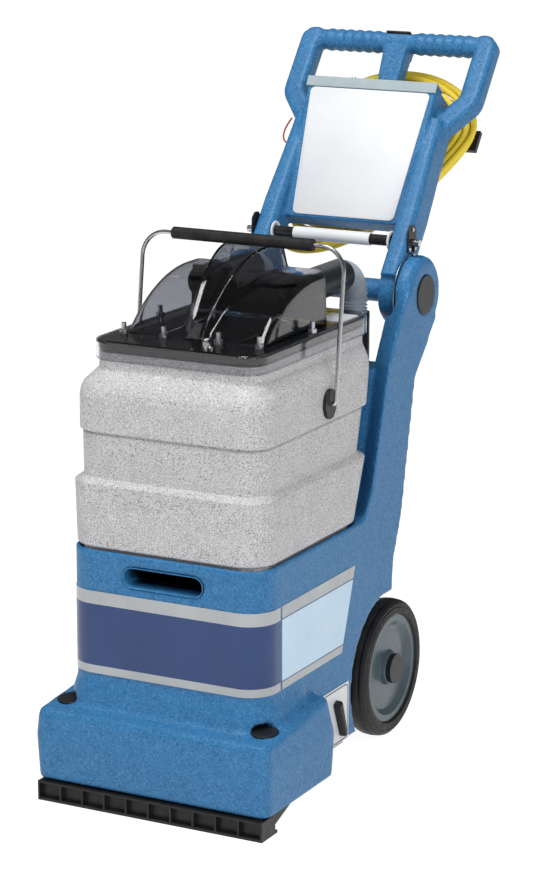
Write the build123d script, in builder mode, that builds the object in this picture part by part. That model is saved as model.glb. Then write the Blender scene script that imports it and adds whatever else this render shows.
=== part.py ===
# Self-contained carpet extractor: wheeled body, brush deck, lift-off recovery tank and folding handle.
# Millimetres. X to the right, the front faces -Y, Z up. The origin is on the floor under the middle.
import os
from math import atan2, cos, degrees, hypot, radians, sin, sqrt

from build123d import *

os.makedirs("parts", exist_ok=True)

# Overall placing and fits
front = -398.5          # front edge of the sole, so that the origin lies midway along the machine
slip = 0.3              # gap between pieces that only pass each other
run_fit = 0.05          # radial clearance of a turning fit
skin = 0.8              # thickness of labels

# Brush deck
deck_half = 182.0       # half width at the crease
deck_front = front + 2.0
deck_back = front + 211.0
deck_low = 30.0
deck_crease = 93.0
deck_draft = 5.0        # how far the deck draws in above its crease
deck_top_front = 130.5  # height of the sloping top at the front edge
deck_top_back = 151.0   # height of the sloping top at the back edge
deck_corner = 14.0
deck_round = 10.0
deck_wall = 6.0
deck_ceiling = 118.0    # top of the hollow over the brush
cap_x = deck_half - 31.0
cap_y = front + 53.0
deck_cap_r = 18.0
deck_cap_deep = 8.0

# Body box
box_half = deck_half - 30.0
box_front = front + 45.0
box_back = front + 455.0
box_corner = 40.0
box_low = 48.0
box_rim = 358.0
tray_floor = box_rim - 12.0    # the recovery tank stands on this floor
tray_back = front + 352.0
tray_thick = 5.0
shell_wall = 6.0
cove = 16.0             # reach of the cove between the deck and the box
cove_top = 172.0
side_start = front + 170.0
cavity_back = front + 312.0
pan_thick = 4.0

# Slot in the front wall where the solution is poured in, also a hand hold
slot_long = 122.0
slot_high = 27.0
slot_z = box_rim - 34.0
slot_deep = 40.0        # length of the channel behind the slot
slot_lip = 4.0          # thickness of its wall

# Labels
label_low = 181.0
label_high = 298.0
label_wrap = front + 96.0
side_label_front = front + 101.0
side_label_back = front + 322.0
side_label_slant = 41.0

# Wheels and axle
wheel_r = 101.6
tyre_wide = 36.0
tyre_shoulder = 6.0
wheel_x = box_half - 27.0
hub_r = 80.0
hub_half = 16.0
hub_boss_r = 24.0
axle_r = 8.0
axle_y = front + 471.0
axle_cap_r = 22.0
axle_cap_long = 7.0
well_x = box_half - 52.0       # inner wall of the wheel wells
well_top = 227.0
tower_half = box_half - 38.0
core_half = tower_half - 20.0  # half width of the hollow between the wells

# Rear tower, uprights and handle pivot
tower_top = 550.0
tower_wall = 6.0
upright_lean = 34.0     # the inner front edge lies this far behind the outer one
pivot_y = front + 548.0
pivot_z = 645.0
head_r = 56.0
head_in = box_half - 24.0
head_round = 12.0
cap_r = 29.0
cap_thick = 4.5
cap_sunk = 3.0
shaft_r = 10.0
pocket_r = 62.0         # room for the lower end of the handle arms
washer_r = 57.0
fold_stop = -105.0      # the handle also locks folded down at this angle

# Handle, measured in its own leaning plane from the pivot: across, along and out of the plane
lean = 38.0             # degrees back from upright
arm_low_out = head_in - 2.5
arm_in = arm_low_out - 29.5
arm_mid_out = arm_low_out - 4.0
arm_top_out = arm_low_out - 6.0
arm_top_in = arm_in - 2.0
arm_top = 262.0
arm_rear = 2.0
arm_front = 54.0
arm_round = 9.0
lug_r = 44.0
bar_r = 15.2
bar_along = 401.0
bar_out = 26.0
leg_half = arm_low_out + 19.0  # middle of the loop's two legs
leg_wide = 33.0
leg_deep = 31.0
leg_round = 8.0
shoulder_along = 303.0
neck_along = 256.0
rib_r = 17.2
rib_root = 15.0
rib_long = 13.0
rib_pitch = 15.4
rib_start = 36.0
rib_count = 6
case_foot = 93.0        # lower end of the control case
case_head = 306.0       # upper end of the control case
case_foot_half = arm_in + 0.5
case_head_half = arm_in + 9.0
case_foot_front = 31.0
case_head_front = 71.0
case_rear = 4.0
case_wall = 5.0
cover_half = 64.0
cover_foot = 106.0
cover_head = 292.0
cover_rim = 5.0
post_foot_half = 14.0
post_head_half = 21.0
post_foot_rear = 3.0
post_foot_front = 22.0
post_rear = 10.0
post_front = 42.0
post_under = 7.0        # the post ends this far below the top of the bar
tube_r = 16.5           # cross tube around the pivot shaft

# Sign, strip and thumb paddle
sign_foot_half = arm_in - 14.0
sign_head_half = arm_in + 3.0
sign_thick = 1.5
sign_margin = 4.0
strip_high = 13.0
strip_half = arm_in + 10.0
strip_thick = 2.5
strip_deep = 24.0
knob_r = 4.0
knob_high = 9.0
knob_x = -38.0
paddle_thick = 3.0
paddle_gap = 0.8
paddle_drop = 7.0       # depth of the relief under the free end of the paddle

# Lock rod and latch
rod_along = 60.0
rod_out = 42.0
rod_r = 8.0
pin_r = 5.0
pin_end = head_in + 12.0
rod_travel = 20.0
sleeve_r = 9.5
sleeve_half = arm_in - 34.0
latch_thick = 2.5
latch_near = 59.0       # the latch plate starts and ends at these distances from the pivot
latch_far = 99.0
latch_half = 13.0
screw_r = 2.6
screw_high = 1.6

# Recovery tank
tank_low = box_rim + 4.0
tank_front = front + 45.0
band_half = box_half
waist_half = box_half - 9.0
upper_half = box_half - 6.0
neck_half = box_half - 35.0
tank_back_low = front + 350.0
tank_back_band = front + 382.0
tank_back_upper = front + 397.0
tank_back_neck = front + 413.0
band_top = tank_low + 84.0
waist_low = tank_low + 94.0
waist_top = tank_low + 155.0
upper_low = tank_low + 158.0
upper_top = tank_low + 204.0
neck_low = tank_low + 238.0
neck_top = tank_low + 263.0
tank_wall = 4.0
tank_corner = 40.0
neck_corner = 28.0
foot_inset = 11.0
foot_wide = 10.0

# Bail
bail_y = front + 248.0
bail_z = tank_low + 183.0
bail_lean = 7.3
bail_reach = 213.0
bail_half = upper_half + 11.0
bail_r = 3.0
bail_bend = 35.0
bail_toe = 4.5
grip_half = 110.0
grip_r = 8.5
ear_thick = 5.0
ear_wide = 17.0
ear_high = 21.0

# Lid and dome
gasket_thick = 3.0
gasket_wide = 8.0
plate_thick = 9.0
plate_half = neck_half + 10.0
plate_front = front + 77.5
plate_back = front + 420.0
plate_corner = 30.0
clear_wall = 3.0
skirt_gap = 0.5
skirt_low = neck_top - 9.0
lobe_half = plate_half - 21.0
lobe_front = front + 137.0
lobe_top = neck_top + 90.0
lobe_rise = 160.0
lobe_round = 36.0
dome_back = front + 322.0
spine_front = front + 135.0
spine_foot_half = 16.0
spine_back_half = 46.0
spine_top = neck_top + 122.0
spine_round = 12.0
duct_r = 28.0           # air openings through the lid plate
duct_y = front + 282.0
stud_r = 3.5
stud_high = 16.0
nut_r = 6.0
nut_high = 6.0
stud_front = front + 128.0
stud_back = front + 388.0
tag_thick = 1.5

# Hoses
hose_x = lobe_half - 34.0
hose_z = neck_top + 61.0
hose_r = 20.5
hose_root = 18.8
hose_bore = 16.0
hose_bend = 40.0
hose_start = front + 392.0
hose_turn = front + 435.0
hose_end = tower_top + 50.0
rib_step = 5.2
cuff_r = 23.5
cuff_front = front + 290.0
cuff_back = front + 432.0
cuff_fit = 0.1
low_cuff_top = tower_top + 76.0
low_cuff_foot = tower_top + 6.0
spigot_flange = 4.0

# Vacuum shoe
shoe_half = deck_half - 7.0
shoe_high = 28.0
shoe_deep = 45.0
shoe_skin = 3.0
shoe_lip = 4.0
shoe_set = 8.0          # the front web stands this far behind the flanges
shoe_slot_front = 14.0
shoe_slot_back = 27.0
shoe_back_web = 36.0
shoe_ribs = 9
spout_r = 11.0
spout_top = 58.0
link_in = shoe_half - 9.7
link_thick = 3.4
link_y = front + 150.0
link_z = 52.0
link_pin_r = 4.0
link_eye = 9.0

# Brush and its drive
brush_y = front + 118.0
brush_z = 53.0
brush_r = 49.0
drum_r = 30.0
bearing_out = link_in - 2.3
bearing_in = bearing_out - 15.0
brush_half = bearing_in - 24.0
stub_r = 8.0
stub_end = bearing_out - 1.0
bearing_half = 18.0
bearing_low = 36.0
groove_count = 10
groove_wide = 6.0
groove_floor = 38.0
belt_x = 12.0 - bearing_in
belt_wide = 12.0
belt_thick = 3.0
brush_pulley_r = 40.0
motor_pulley_r = 20.0
motor_y = front + 150.0
motor_z = 190.0
motor_r = 50.0
motor_face = belt_x + 32.0
motor_back = -motor_face - 44.0
motor_shaft_r = 6.0
flange_thick = 6.0

# Solution and suction inside the body
solution_half = box_half - 12.0
solution_front = front + 86.0
solution_back = front + 306.0
solution_low = 250.0
solution_wall = 3.0
bar_pipe_r = 6.0
bar_pipe_y = front + 190.0
bar_pipe_z = 104.0
bar_pipe_half = bearing_out
nozzle_r = 5.0
nozzle_long = 16.0
pump_r = 26.0
pump_y = front + 262.0
pump_long = 90.0
fan_r = 62.0
fan_high = 92.0
vac_r = 45.0
vac_high = 80.0
vac_y = front + 376.0

# Selector
plate_foot = 50.0
plate_head = 134.0
selector_front = front + 222.0
selector_back = front + 302.0
selector_thick = 1.5
dial_y = front + 269.0
dial_z = 88.0
dial_r = 14.0
dial_high = 6.0
lever_long = 58.0
lever_wide = 14.0
lever_high = 14.0
dial_shaft_r = 5.0

# Switches, gland, hooks, plug and cord
rocker_wide = 18.0
rocker_long = 26.0
rocker_out = 6.0
rocker_in = 3.0
rocker_side = 22.0
rocker_along = 165.0
rocker_play_side = 0.6
rocker_play_end = 1.4
gland_half = 12.0
gland_foot = 236.0
gland_top = 254.0
gland_tip_r = 6.8
gland_base_r = 9.5
hook_in = 70.0
hook_out = 79.0
hook_low = 264.0
hook_high = 298.0
hook_base_in = 66.0
hook_base_out = 88.0
hook_base_more = 9.0
hook_back = -48.0
hook_lip = 8.0
hook_tip = 140.0
plug_long = 46.0
plug_wide = 30.0
plug_deep = 24.0
pin_long = 18.0
cord_r = 4.75
coil_pitch = 11.4
coil_turns = 8
coil_in_half = 97.0     # half width of the innermost loop
coil_left_half = 92.0   # the same at the left, where the loops lie closer
coil_left_share = 0.93
coil_in_up = 62.0       # the innermost loop above its widest line
coil_in_down = 156.0    # the innermost loop below its widest line
coil_fall = 1.3         # the lower loops lie this much further apart
coil_drift = 0.40       # sideways hang of the lower loops
coil_along = 275.0      # widest line of the loops, along the handle
coil_layer_a = -20.0
coil_layer_b = -31.6
cord_side = 52.0        # the two cord ends lie this far to each side inside the loops
cord_end_along = 280.0
tie_along = 246.0
tie_wide = 20.0
tie_thick = 1.5
tie_gap = 0.6
tie_tail = 12.0

# Frame of the handle
lean_sin = sin(radians(lean))
lean_cos = cos(radians(lean))
along_dir = Vector(0, lean_sin, lean_cos)
out_dir = Vector(0, -lean_cos, lean_sin)
pivot = Vector(0, pivot_y, pivot_z)
handle_plane = Plane(origin=pivot, x_dir=(1, 0, 0), z_dir=out_dir)
handle_side = Plane(origin=pivot, x_dir=along_dir, z_dir=(1, 0, 0))


def slab(z, half, y_a, y_b, corner):
    # A level rounded rectangle
    with BuildSketch(Plane.XY.offset(z)) as outline:
        with Locations((0, (y_a + y_b) / 2)):
            RectangleRounded(2 * half, y_b - y_a, corner)
    return outline.sketch


def polygon(plane, *points):
    # A straight-sided face in the given plane
    with BuildSketch(plane) as outline:
        with BuildLine():
            Polyline(*points, close=True)
        make_face()
    return outline.sketch


def side_face(x, *points):
    # A polygon of (y, z) points in the upright plane at x
    return polygon(Plane.YZ.offset(x), *points)


def rect(plane, low_a, low_b, high_a, high_b):
    # A rectangle between two corners in the given plane
    return polygon(plane, (low_a, low_b), (high_a, low_b), (high_a, high_b), (low_a, high_b))


def disc(plane, radius):
    # A circle about the plane's origin
    with BuildSketch(plane) as outline:
        Circle(radius)
    return outline.sketch


def ring(plane, outer, inner):
    # A flat ring about the plane's origin
    with BuildSketch(plane) as outline:
        Circle(outer)
        Circle(inner, mode=Mode.SUBTRACT)
    return outline.sketch


def cross_plane(x, y, z):
    # A plane facing +X at a point
    return Plane(origin=(x, y, z), x_dir=(0, 1, 0), z_dir=(1, 0, 0))


def handle_point(across, along, out):
    # A point of the handle's own frame in the machine's frame
    return pivot + Vector(across, 0, 0) + along_dir * along + out_dir * out


def finish(piece, name):
    # Label a piece and write it
    piece.part.label = name
    export_step(piece.part, f"parts/{name}.step")


both_hands = (1, -1)

# Body shell: deck, box, rear tower and the two uprights in one moulding
with BuildPart() as head_form:
    extrude(disc(cross_plane(head_in, pivot_y, pivot_z), head_r), amount=box_half - head_in)
    fillet(head_form.edges().group_by(Axis.X)[-1], head_round)

low_front = deck_front + deck_draft / 2
low_back = deck_back - deck_draft / 2
low_half = deck_half - deck_draft / 2
deck_over = deck_top_back + deck_round
over_half = deck_half - deck_draft
over_back = deck_back - 4 * deck_draft
room_half = box_half - shell_wall
room_front = box_front + shell_wall
room_corner = box_corner - shell_wall
deck_slope = atan2(deck_top_back - deck_top_front, deck_back - deck_front)
box_start = deck_top_front - deck_round
cap_z = deck_top_front + (cap_y - deck_front) * sin(deck_slope) / cos(deck_slope)
rod_reach = hypot(rod_along, rod_out)
rod_dir = (along_dir * rod_along + out_dir * rod_out) / rod_reach
rod_axis_plane = Plane(origin=pivot, x_dir=rod_dir, z_dir=(1, 0, 0))
fold_dir = rod_dir.rotate(Axis.X, fold_stop)
lock_planes = (rod_axis_plane, Plane(origin=pivot, x_dir=fold_dir, z_dir=(1, 0, 0)))
slot_half = pin_r + slip
slot_near = rod_reach - rod_travel - slot_half
slot_far = rod_reach + slot_half

with BuildPart() as body_shell:
    loft(
        [
            slab(deck_low, low_half, low_front, low_back, deck_corner),
            slab(deck_crease, deck_half, deck_front, deck_back, deck_corner),
            slab(deck_over, over_half, deck_front + deck_draft, over_back, deck_corner),
        ],
        ruled=True,
    )
    over_deck = side_face(
        -deck_half,
        (deck_front, deck_top_front),
        (deck_back, deck_top_back),
        (deck_back, deck_over + deck_round),
        (deck_front, deck_over + deck_round),
    )
    extrude(over_deck, amount=2 * deck_half, mode=Mode.SUBTRACT)
    fillet(body_shell.faces().sort_by(Axis.Z)[-1].edges(), deck_round)
    extrude(slab(box_start, box_half, box_front, box_back, box_corner), amount=box_rim - box_start)
    loft(
        [
            slab(box_start, box_half + cove, box_front - cove, deck_back - cove, box_corner + cove),
            slab(cove_top, box_half, box_front, deck_back - cove, box_corner),
        ],
        ruled=True,
    )
    extrude(slab(box_low, box_half, side_start, box_back, box_corner / 3), amount=tray_floor - box_low)
    tower_face = side_face(
        -tower_half,
        (front + 300, box_low),
        (front + 505, box_low),
        (front + 515, box_low + 22),
        (front + 515, box_low + 92),
        (front + 455, 228),
        (front + 452, 272),
        (front + 470, 387),
        (front + 507, tower_top),
        (front + 408, tower_top),
        (front + 366, box_rim + 4),
        (front + 300, box_rim - 8),
    )
    extrude(tower_face, amount=2 * tower_half)
    for hand in both_hands:
        outer = side_face(
            hand * box_half,
            (front + 342, tray_floor),
            (front + 374, box_rim + 34),
            (front + 390, box_rim + 87),
            (front + 425, box_rim + 202),
            (front + 474, 640),
            (front + 505, 670),
            (pivot_y, pivot_z + 15),
            (pivot_y + 40, pivot_z - 39),
            (front + 517, 528),
            (front + 495, 426),
            (front + 475, box_rim - 24),
            (front + 450, 273),
            (front + 446, well_top + 2),
            (front + 400, well_top + 2),
        )
        inner = side_face(
            hand * tower_half,
            (front + 342 + upright_lean, tray_floor),
            (front + 374 + upright_lean, box_rim + 34),
            (front + 390 + upright_lean, box_rim + 87),
            (front + 425 + upright_lean, box_rim + 202),
            (front + 500, 632),
            (front + 515, 665),
            (pivot_y, pivot_z + 15),
            (pivot_y + 40, pivot_z - 39),
            (front + 517, 528),
            (front + 495, 426),
            (front + 475, box_rim - 24),
            (front + 450, 273),
            (front + 446, well_top + 2),
            (front + 400, well_top + 2),
        )
        loft([inner, outer], ruled=True)
    add(head_form.part)
    add(mirror(head_form.part, about=Plane.YZ, mode=Mode.PRIVATE))

    # Hollows over the brush, inside the box, behind the deck and inside the tower
    hollow_front = low_front + deck_wall
    hollow_back = low_back - deck_wall
    hollow_corner = deck_corner - deck_wall
    over_brush = slab(deck_low, low_half - deck_wall, hollow_front, hollow_back, hollow_corner)
    extrude(over_brush, amount=deck_ceiling - deck_low, mode=Mode.SUBTRACT)
    box_hollow_low = deck_ceiling - deck_wall
    box_hollow_high = tray_floor - tray_thick
    in_box = slab(box_hollow_low, room_half, room_front, cavity_back, room_corner)
    extrude(in_box, amount=box_hollow_high - box_hollow_low, mode=Mode.SUBTRACT)
    rear_bay = slab(box_low, room_half, deck_back + shell_wall, cavity_back, box_corner / 2 - shell_wall)
    extrude(rear_bay, amount=deck_ceiling - box_low, mode=Mode.SUBTRACT)
    tower_hollow = side_face(
        -core_half,
        (front + 290, box_low),
        (front + 498, box_low),
        (front + 508, box_low + 24),
        (front + 508, box_low + 90),
        (front + 448, 227),
        (front + 446, 272),
        (front + 463, 386),
        (front + 499.5, tower_top - tower_wall),
        (front + 415, tower_top - tower_wall),
        (front + 374, box_rim + tower_wall),
        (front + 374, box_hollow_high),
        (front + 290, box_hollow_high),
    )
    extrude(tower_hollow, amount=2 * core_half, mode=Mode.SUBTRACT)

    # Tray for the recovery tank and the pouring slot
    tray = slab(tray_floor, room_half + slip, room_front - slip, tray_back, room_corner + slip)
    extrude(tray, amount=box_rim - tray_floor + shell_wall, mode=Mode.SUBTRACT)
    with BuildSketch(Plane.XZ.offset(-(box_front + 1))) as channel_face:
        with Locations((0, slot_z)):
            SlotOverall(slot_long + 2 * slot_lip, slot_high + 2 * slot_lip)
    extrude(channel_face.sketch, amount=-(slot_deep - 1))
    with BuildSketch(Plane.XZ.offset(-(box_front - shell_wall))) as pour_slot:
        with Locations((0, slot_z)):
            SlotOverall(slot_long, slot_high)
    extrude(pour_slot.sketch, amount=-(slot_deep + 2 * shell_wall), mode=Mode.SUBTRACT)

    # Wheel wells, arm pockets, shaft and axle bores, lock notches
    for hand in both_hands:
        with BuildSketch(Plane.YZ.offset(hand * well_x)) as well:
            with BuildLine():
                ThreePointArc((front + 336, box_low - 4), (front + 321, 150), (front + 411, well_top))
                Polyline((front + 411, well_top), (front + 640, well_top), (front + 640, box_low - 4))
                Line((front + 640, box_low - 4), (front + 336, box_low - 4))
            make_face()
        extrude(well.sketch, amount=hand * (box_half - well_x + shell_wall), mode=Mode.SUBTRACT)
        pocket = disc(cross_plane(hand * head_in, pivot_y, pivot_z), pocket_r)
        extrude(pocket, amount=-hand * (head_in - core_half), mode=Mode.SUBTRACT)
        bore = disc(cross_plane(hand * (head_in - 1), pivot_y, pivot_z), shaft_r + run_fit)
        extrude(bore, amount=hand * (box_half - head_in), mode=Mode.SUBTRACT)
        recess = disc(cross_plane(hand * (box_half - cap_sunk), pivot_y, pivot_z), cap_r + slip)
        extrude(recess, amount=hand * (cap_sunk + 1), mode=Mode.SUBTRACT)
        axle_bore = disc(cross_plane(hand * (core_half - 1), axle_y, wheel_r), axle_r + run_fit)
        extrude(axle_bore, amount=hand * (well_x - core_half + 2), mode=Mode.SUBTRACT)
        for lock_plane in lock_planes:
            notch = rect(lock_plane.offset(hand * head_in), slot_near, -slot_half, pocket_r, slot_half)
            extrude(notch, amount=hand * (pin_end - head_in + 1), mode=Mode.SUBTRACT)
        cap_plane = Plane(origin=(hand * cap_x, cap_y, cap_z), z_dir=(0, -sin(deck_slope), cos(deck_slope)))
        extrude(disc(cap_plane, deck_cap_r + slip), amount=-deck_cap_deep, mode=Mode.SUBTRACT)
        extrude(disc(cap_plane, deck_cap_r + slip), amount=deck_cap_deep, mode=Mode.SUBTRACT)
        spigot_hole = disc(Plane(origin=(hand * hose_x, hose_turn + hose_bend, tower_top + 1)), hose_root)
        extrude(spigot_hole, amount=-tower_wall - 2, mode=Mode.SUBTRACT)
        pin_base = cross_plane(hand * (low_half - deck_wall + 1), link_y, link_z)
        extrude(disc(pin_base, link_pin_r), amount=-hand * (low_half - deck_wall + 1 - link_in))
    dial_bore = disc(cross_plane(box_half + 1, dial_y, dial_z), dial_shaft_r + run_fit)
    extrude(dial_bore, amount=-shell_wall - 2, mode=Mode.SUBTRACT)
finish(body_shell, "body_shell")

# Pan that closes the rear of the body from below
with BuildPart() as base_pan:
    pan_front = slab(box_low - pan_thick, box_half - 4, deck_back + 4, cavity_back, box_corner / 2)
    extrude(pan_front, amount=pan_thick)
    pan_rear = slab(box_low - pan_thick, core_half + 4, cavity_back - box_corner, front + 500, 6)
    extrude(pan_rear, amount=pan_thick)
finish(base_pan, "base_pan")

# Wrap-round label on the front of the box
with BuildPart() as front_label:
    label_out = slab(label_low, box_half + skin, box_front - skin, box_back, box_corner + skin)
    extrude(label_out, amount=label_high - label_low)
    label_in = slab(label_low, box_half, box_front, box_back, box_corner)
    extrude(label_in, amount=label_high - label_low, mode=Mode.SUBTRACT)
    behind = rect(Plane.XY.offset(label_low), -2 * box_half, label_wrap, 2 * box_half, box_back + box_corner)
    extrude(behind, amount=label_high - label_low, mode=Mode.SUBTRACT)
finish(front_label, "front_label")

# Slanted labels on the two sides of the box
with BuildPart() as side_labels:
    for hand in both_hands:
        side_shape = side_face(
            hand * box_half,
            (side_label_front, label_low),
            (side_label_front, label_high),
            (side_label_back, label_high),
            (side_label_back - side_label_slant, label_low),
        )
        extrude(side_shape, amount=hand * skin)
finish(side_labels, "side_labels")

# Round caps in the deck corners
with BuildPart() as deck_caps:
    for hand in both_hands:
        cap_plane = Plane(origin=(hand * cap_x, cap_y, cap_z), z_dir=(0, -sin(deck_slope), cos(deck_slope)))
        extrude(disc(cap_plane, deck_cap_r), amount=-deck_cap_deep)
        extrude(disc(cap_plane, deck_cap_r - 2), amount=1)
finish(deck_caps, "deck_caps")

# Vacuum shoe: a ribbed channel with a suction slot, on two drop links
with BuildPart() as vac_shoe:
    shoe_profile = side_face(
        -shoe_half,
        (front, 0),
        (front + shoe_slot_front, 0),
        (front + shoe_slot_front, shoe_lip),
        (front + shoe_set + shoe_skin, shoe_lip),
        (front + shoe_set + shoe_skin, shoe_high - shoe_skin),
        (front + shoe_back_web, shoe_high - shoe_skin),
        (front + shoe_back_web, shoe_lip),
        (front + shoe_slot_back, shoe_lip),
        (front + shoe_slot_back, 0),
        (front + shoe_deep, 0),
        (front + shoe_deep, shoe_lip),
        (front + shoe_back_web + shoe_skin, shoe_lip),
        (front + shoe_back_web + shoe_skin, shoe_high),
        (front, shoe_high),
        (front, shoe_high - shoe_skin),
        (front + shoe_set, shoe_high - shoe_skin),
        (front + shoe_set, shoe_lip),
        (front, shoe_lip),
    )
    extrude(shoe_profile, amount=2 * shoe_half)
    rib_gap = (2 * shoe_half - shoe_skin) / (shoe_ribs + 1)
    for rib in range(shoe_ribs + 2):
        rib_x = -shoe_half + rib * rib_gap
        extrude(rect(Plane.YZ.offset(rib_x), front, 0, front + shoe_set + 1, shoe_high), amount=shoe_skin)
    for hand in both_hands:
        end_back = front + shoe_back_web + shoe_skin
        end_plate = rect(Plane.YZ.offset(hand * shoe_half), front, 0, end_back, shoe_high)
        extrude(end_plate, amount=-hand * shoe_skin)
        link_shape = side_face(
            hand * link_in,
            (front + shoe_set, shoe_lip),
            (front + shoe_back_web + shoe_skin, shoe_lip),
            (link_y + 4, link_z - link_eye),
            (link_y - 3, link_z + link_eye),
            (front + shoe_back_web, shoe_high - 2),
            (front + shoe_set, shoe_high - 2),
        )
        extrude(link_shape, amount=hand * link_thick)
        extrude(disc(cross_plane(hand * link_in, link_y, link_z), link_eye), amount=hand * link_thick)
    spout_y = front + (shoe_set + shoe_skin + shoe_back_web) / 2
    spout_plane = Plane(origin=(0, spout_y, shoe_high - shoe_skin))
    spout_long = spout_top - shoe_high + shoe_skin
    extrude(disc(spout_plane, spout_r), amount=spout_long)
    extrude(disc(spout_plane, spout_r - shoe_skin), amount=spout_long, mode=Mode.SUBTRACT)
    for hand in both_hands:
        link_hole = disc(cross_plane(hand * (link_in - 1), link_y, link_z), link_pin_r + run_fit)
        extrude(link_hole, amount=hand * (link_thick + 2), mode=Mode.SUBTRACT)
finish(vac_shoe, "vac_shoe")

# Brush: drum on stub shafts, grooved bristle sleeve, hanging bearings and pulley
with BuildPart() as brush_core:
    extrude(disc(cross_plane(-brush_half, brush_y, brush_z), drum_r), amount=2 * brush_half)
    extrude(disc(cross_plane(-stub_end, brush_y, brush_z), stub_r), amount=2 * stub_end)
finish(brush_core, "brush_core")

with BuildPart() as brush_bristles:
    sleeve_plane = cross_plane(-brush_half, brush_y, brush_z)
    extrude(ring(sleeve_plane, brush_r, drum_r + run_fit), amount=2 * brush_half)
    with BuildSketch(sleeve_plane) as groove_face:
        with PolarLocations((groove_floor + brush_r) / 2, groove_count):
            Rectangle(brush_r - groove_floor + 2, groove_wide)
    groove_cut = extrude(groove_face.sketch, amount=2 * brush_half, mode=Mode.PRIVATE)
    add(groove_cut, mode=Mode.SUBTRACT)
finish(brush_bristles, "brush_bristles")

with BuildPart() as brush_bearings:
    for hand in both_hands:
        hanger = rect(
            Plane.YZ.offset(hand * bearing_in),
            brush_y - bearing_half,
            bearing_low,
            brush_y + bearing_half,
            deck_ceiling,
        )
        extrude(hanger, amount=hand * (bearing_out - bearing_in))
        bearing_bore = disc(cross_plane(hand * (bearing_in - 1), brush_y, brush_z), stub_r + run_fit)
        extrude(bearing_bore, amount=hand * (bearing_out - bearing_in + 2), mode=Mode.SUBTRACT)
finish(brush_bearings, "brush_bearings")

belt_low_x = belt_x - belt_wide / 2
with BuildPart() as brush_pulley:
    pulley_plane = cross_plane(belt_low_x, brush_y, brush_z)
    extrude(ring(pulley_plane, brush_pulley_r, stub_r + run_fit), amount=belt_wide)
finish(brush_pulley, "brush_pulley")

with BuildPart() as motor_pulley:
    extrude(disc(cross_plane(belt_low_x, motor_y, motor_z), motor_pulley_r), amount=belt_wide)
    shaft_long = motor_face + 30 - belt_low_x
    extrude(disc(cross_plane(belt_low_x, motor_y, motor_z), motor_shaft_r), amount=shaft_long)
finish(motor_pulley, "motor_pulley")

with BuildPart() as drive_belt:
    for grow, how in ((slip + belt_thick, Mode.ADD), (slip, Mode.SUBTRACT)):
        with BuildSketch(Plane.YZ.offset(belt_low_x)) as belt_face:
            with Locations((brush_y, brush_z)):
                Circle(brush_pulley_r + grow)
            with Locations((motor_y, motor_z)):
                Circle(motor_pulley_r + grow)
            make_hull(belt_face.edges())
        extrude(belt_face.sketch, amount=belt_wide, mode=how)
finish(drive_belt, "drive_belt")

with BuildPart() as brush_motor:
    extrude(disc(cross_plane(motor_face, motor_y, motor_z), motor_r), amount=motor_back - motor_face)
    flange = rect(
        Plane.YZ.offset(motor_face - flange_thick),
        box_front + shell_wall,
        motor_z - motor_r,
        motor_y + motor_r + 8,
        motor_z + motor_r,
    )
    extrude(flange, amount=flange_thick)
    far_foot = rect(
        Plane.YZ.offset(motor_back - 3 * flange_thick),
        box_front + shell_wall,
        motor_z - motor_r / 2,
        motor_y,
        motor_z + motor_r / 2,
    )
    extrude(far_foot, amount=flange_thick)
    shaft_bore = disc(cross_plane(motor_face - flange_thick - 1, motor_y, motor_z), motor_shaft_r + run_fit)
    extrude(shaft_bore, amount=flange_thick + 40, mode=Mode.SUBTRACT)
finish(brush_motor, "brush_motor")

# Spray bar, pump, solution tank and suction motor inside the body
with BuildPart() as spray_bar:
    extrude(disc(cross_plane(-bar_pipe_half, bar_pipe_y, bar_pipe_z), bar_pipe_r), amount=2 * bar_pipe_half)
    for hand in both_hands:
        saddle = rect(
            Plane.YZ.offset(hand * bearing_in),
            bar_pipe_y - bar_pipe_r,
            bar_pipe_z - bar_pipe_r,
            bar_pipe_y + bar_pipe_r,
            deck_ceiling,
        )
        extrude(saddle, amount=hand * (bearing_out - bearing_in))
    for place in (-1, 0, 1):
        nozzle_x = place * brush_half * 2 / 3
        nozzle_plane = Plane(origin=(nozzle_x, bar_pipe_y, bar_pipe_z), z_dir=(0, -0.3, -1))
        extrude(disc(nozzle_plane, nozzle_r), amount=nozzle_long)
finish(spray_bar, "spray_bar")

with BuildPart() as pump:
    pump_z = box_low + pump_r
    extrude(disc(cross_plane(-pump_long / 2, pump_y, pump_z), pump_r), amount=pump_long)
    stand = rect(Plane.XY.offset(box_low), -pump_long / 2, pump_y - pump_r, pump_long / 2, pump_y + pump_r)
    extrude(stand, amount=pump_r)
finish(pump, "pump")

with BuildPart() as solution_tank:
    solution_corner = box_corner - 2 * shell_wall
    tank_shape = slab(solution_low, solution_half, solution_front, solution_back, solution_corner)
    extrude(tank_shape, amount=box_hollow_high - solution_low)
    room = slab(
        solution_low + solution_wall,
        solution_half - solution_wall,
        solution_front + solution_wall,
        solution_back - solution_wall,
        box_corner - 3 * shell_wall,
    )
    extrude(room, amount=box_hollow_high - solution_low - 2 * solution_wall, mode=Mode.SUBTRACT)
    with BuildSketch(Plane.XZ.offset(-(solution_front - 1))) as fill_slot:
        with Locations((0, slot_z)):
            SlotOverall(slot_long, slot_high)
    extrude(fill_slot.sketch, amount=-solution_wall - 2, mode=Mode.SUBTRACT)
finish(solution_tank, "solution_tank")

with BuildPart() as vac_motor:
    extrude(disc(Plane(origin=(0, vac_y, box_low)), fan_r), amount=fan_high)
    extrude(disc(Plane(origin=(0, vac_y, box_low + fan_high)), vac_r), amount=vac_high)
finish(vac_motor, "vac_motor")

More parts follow.
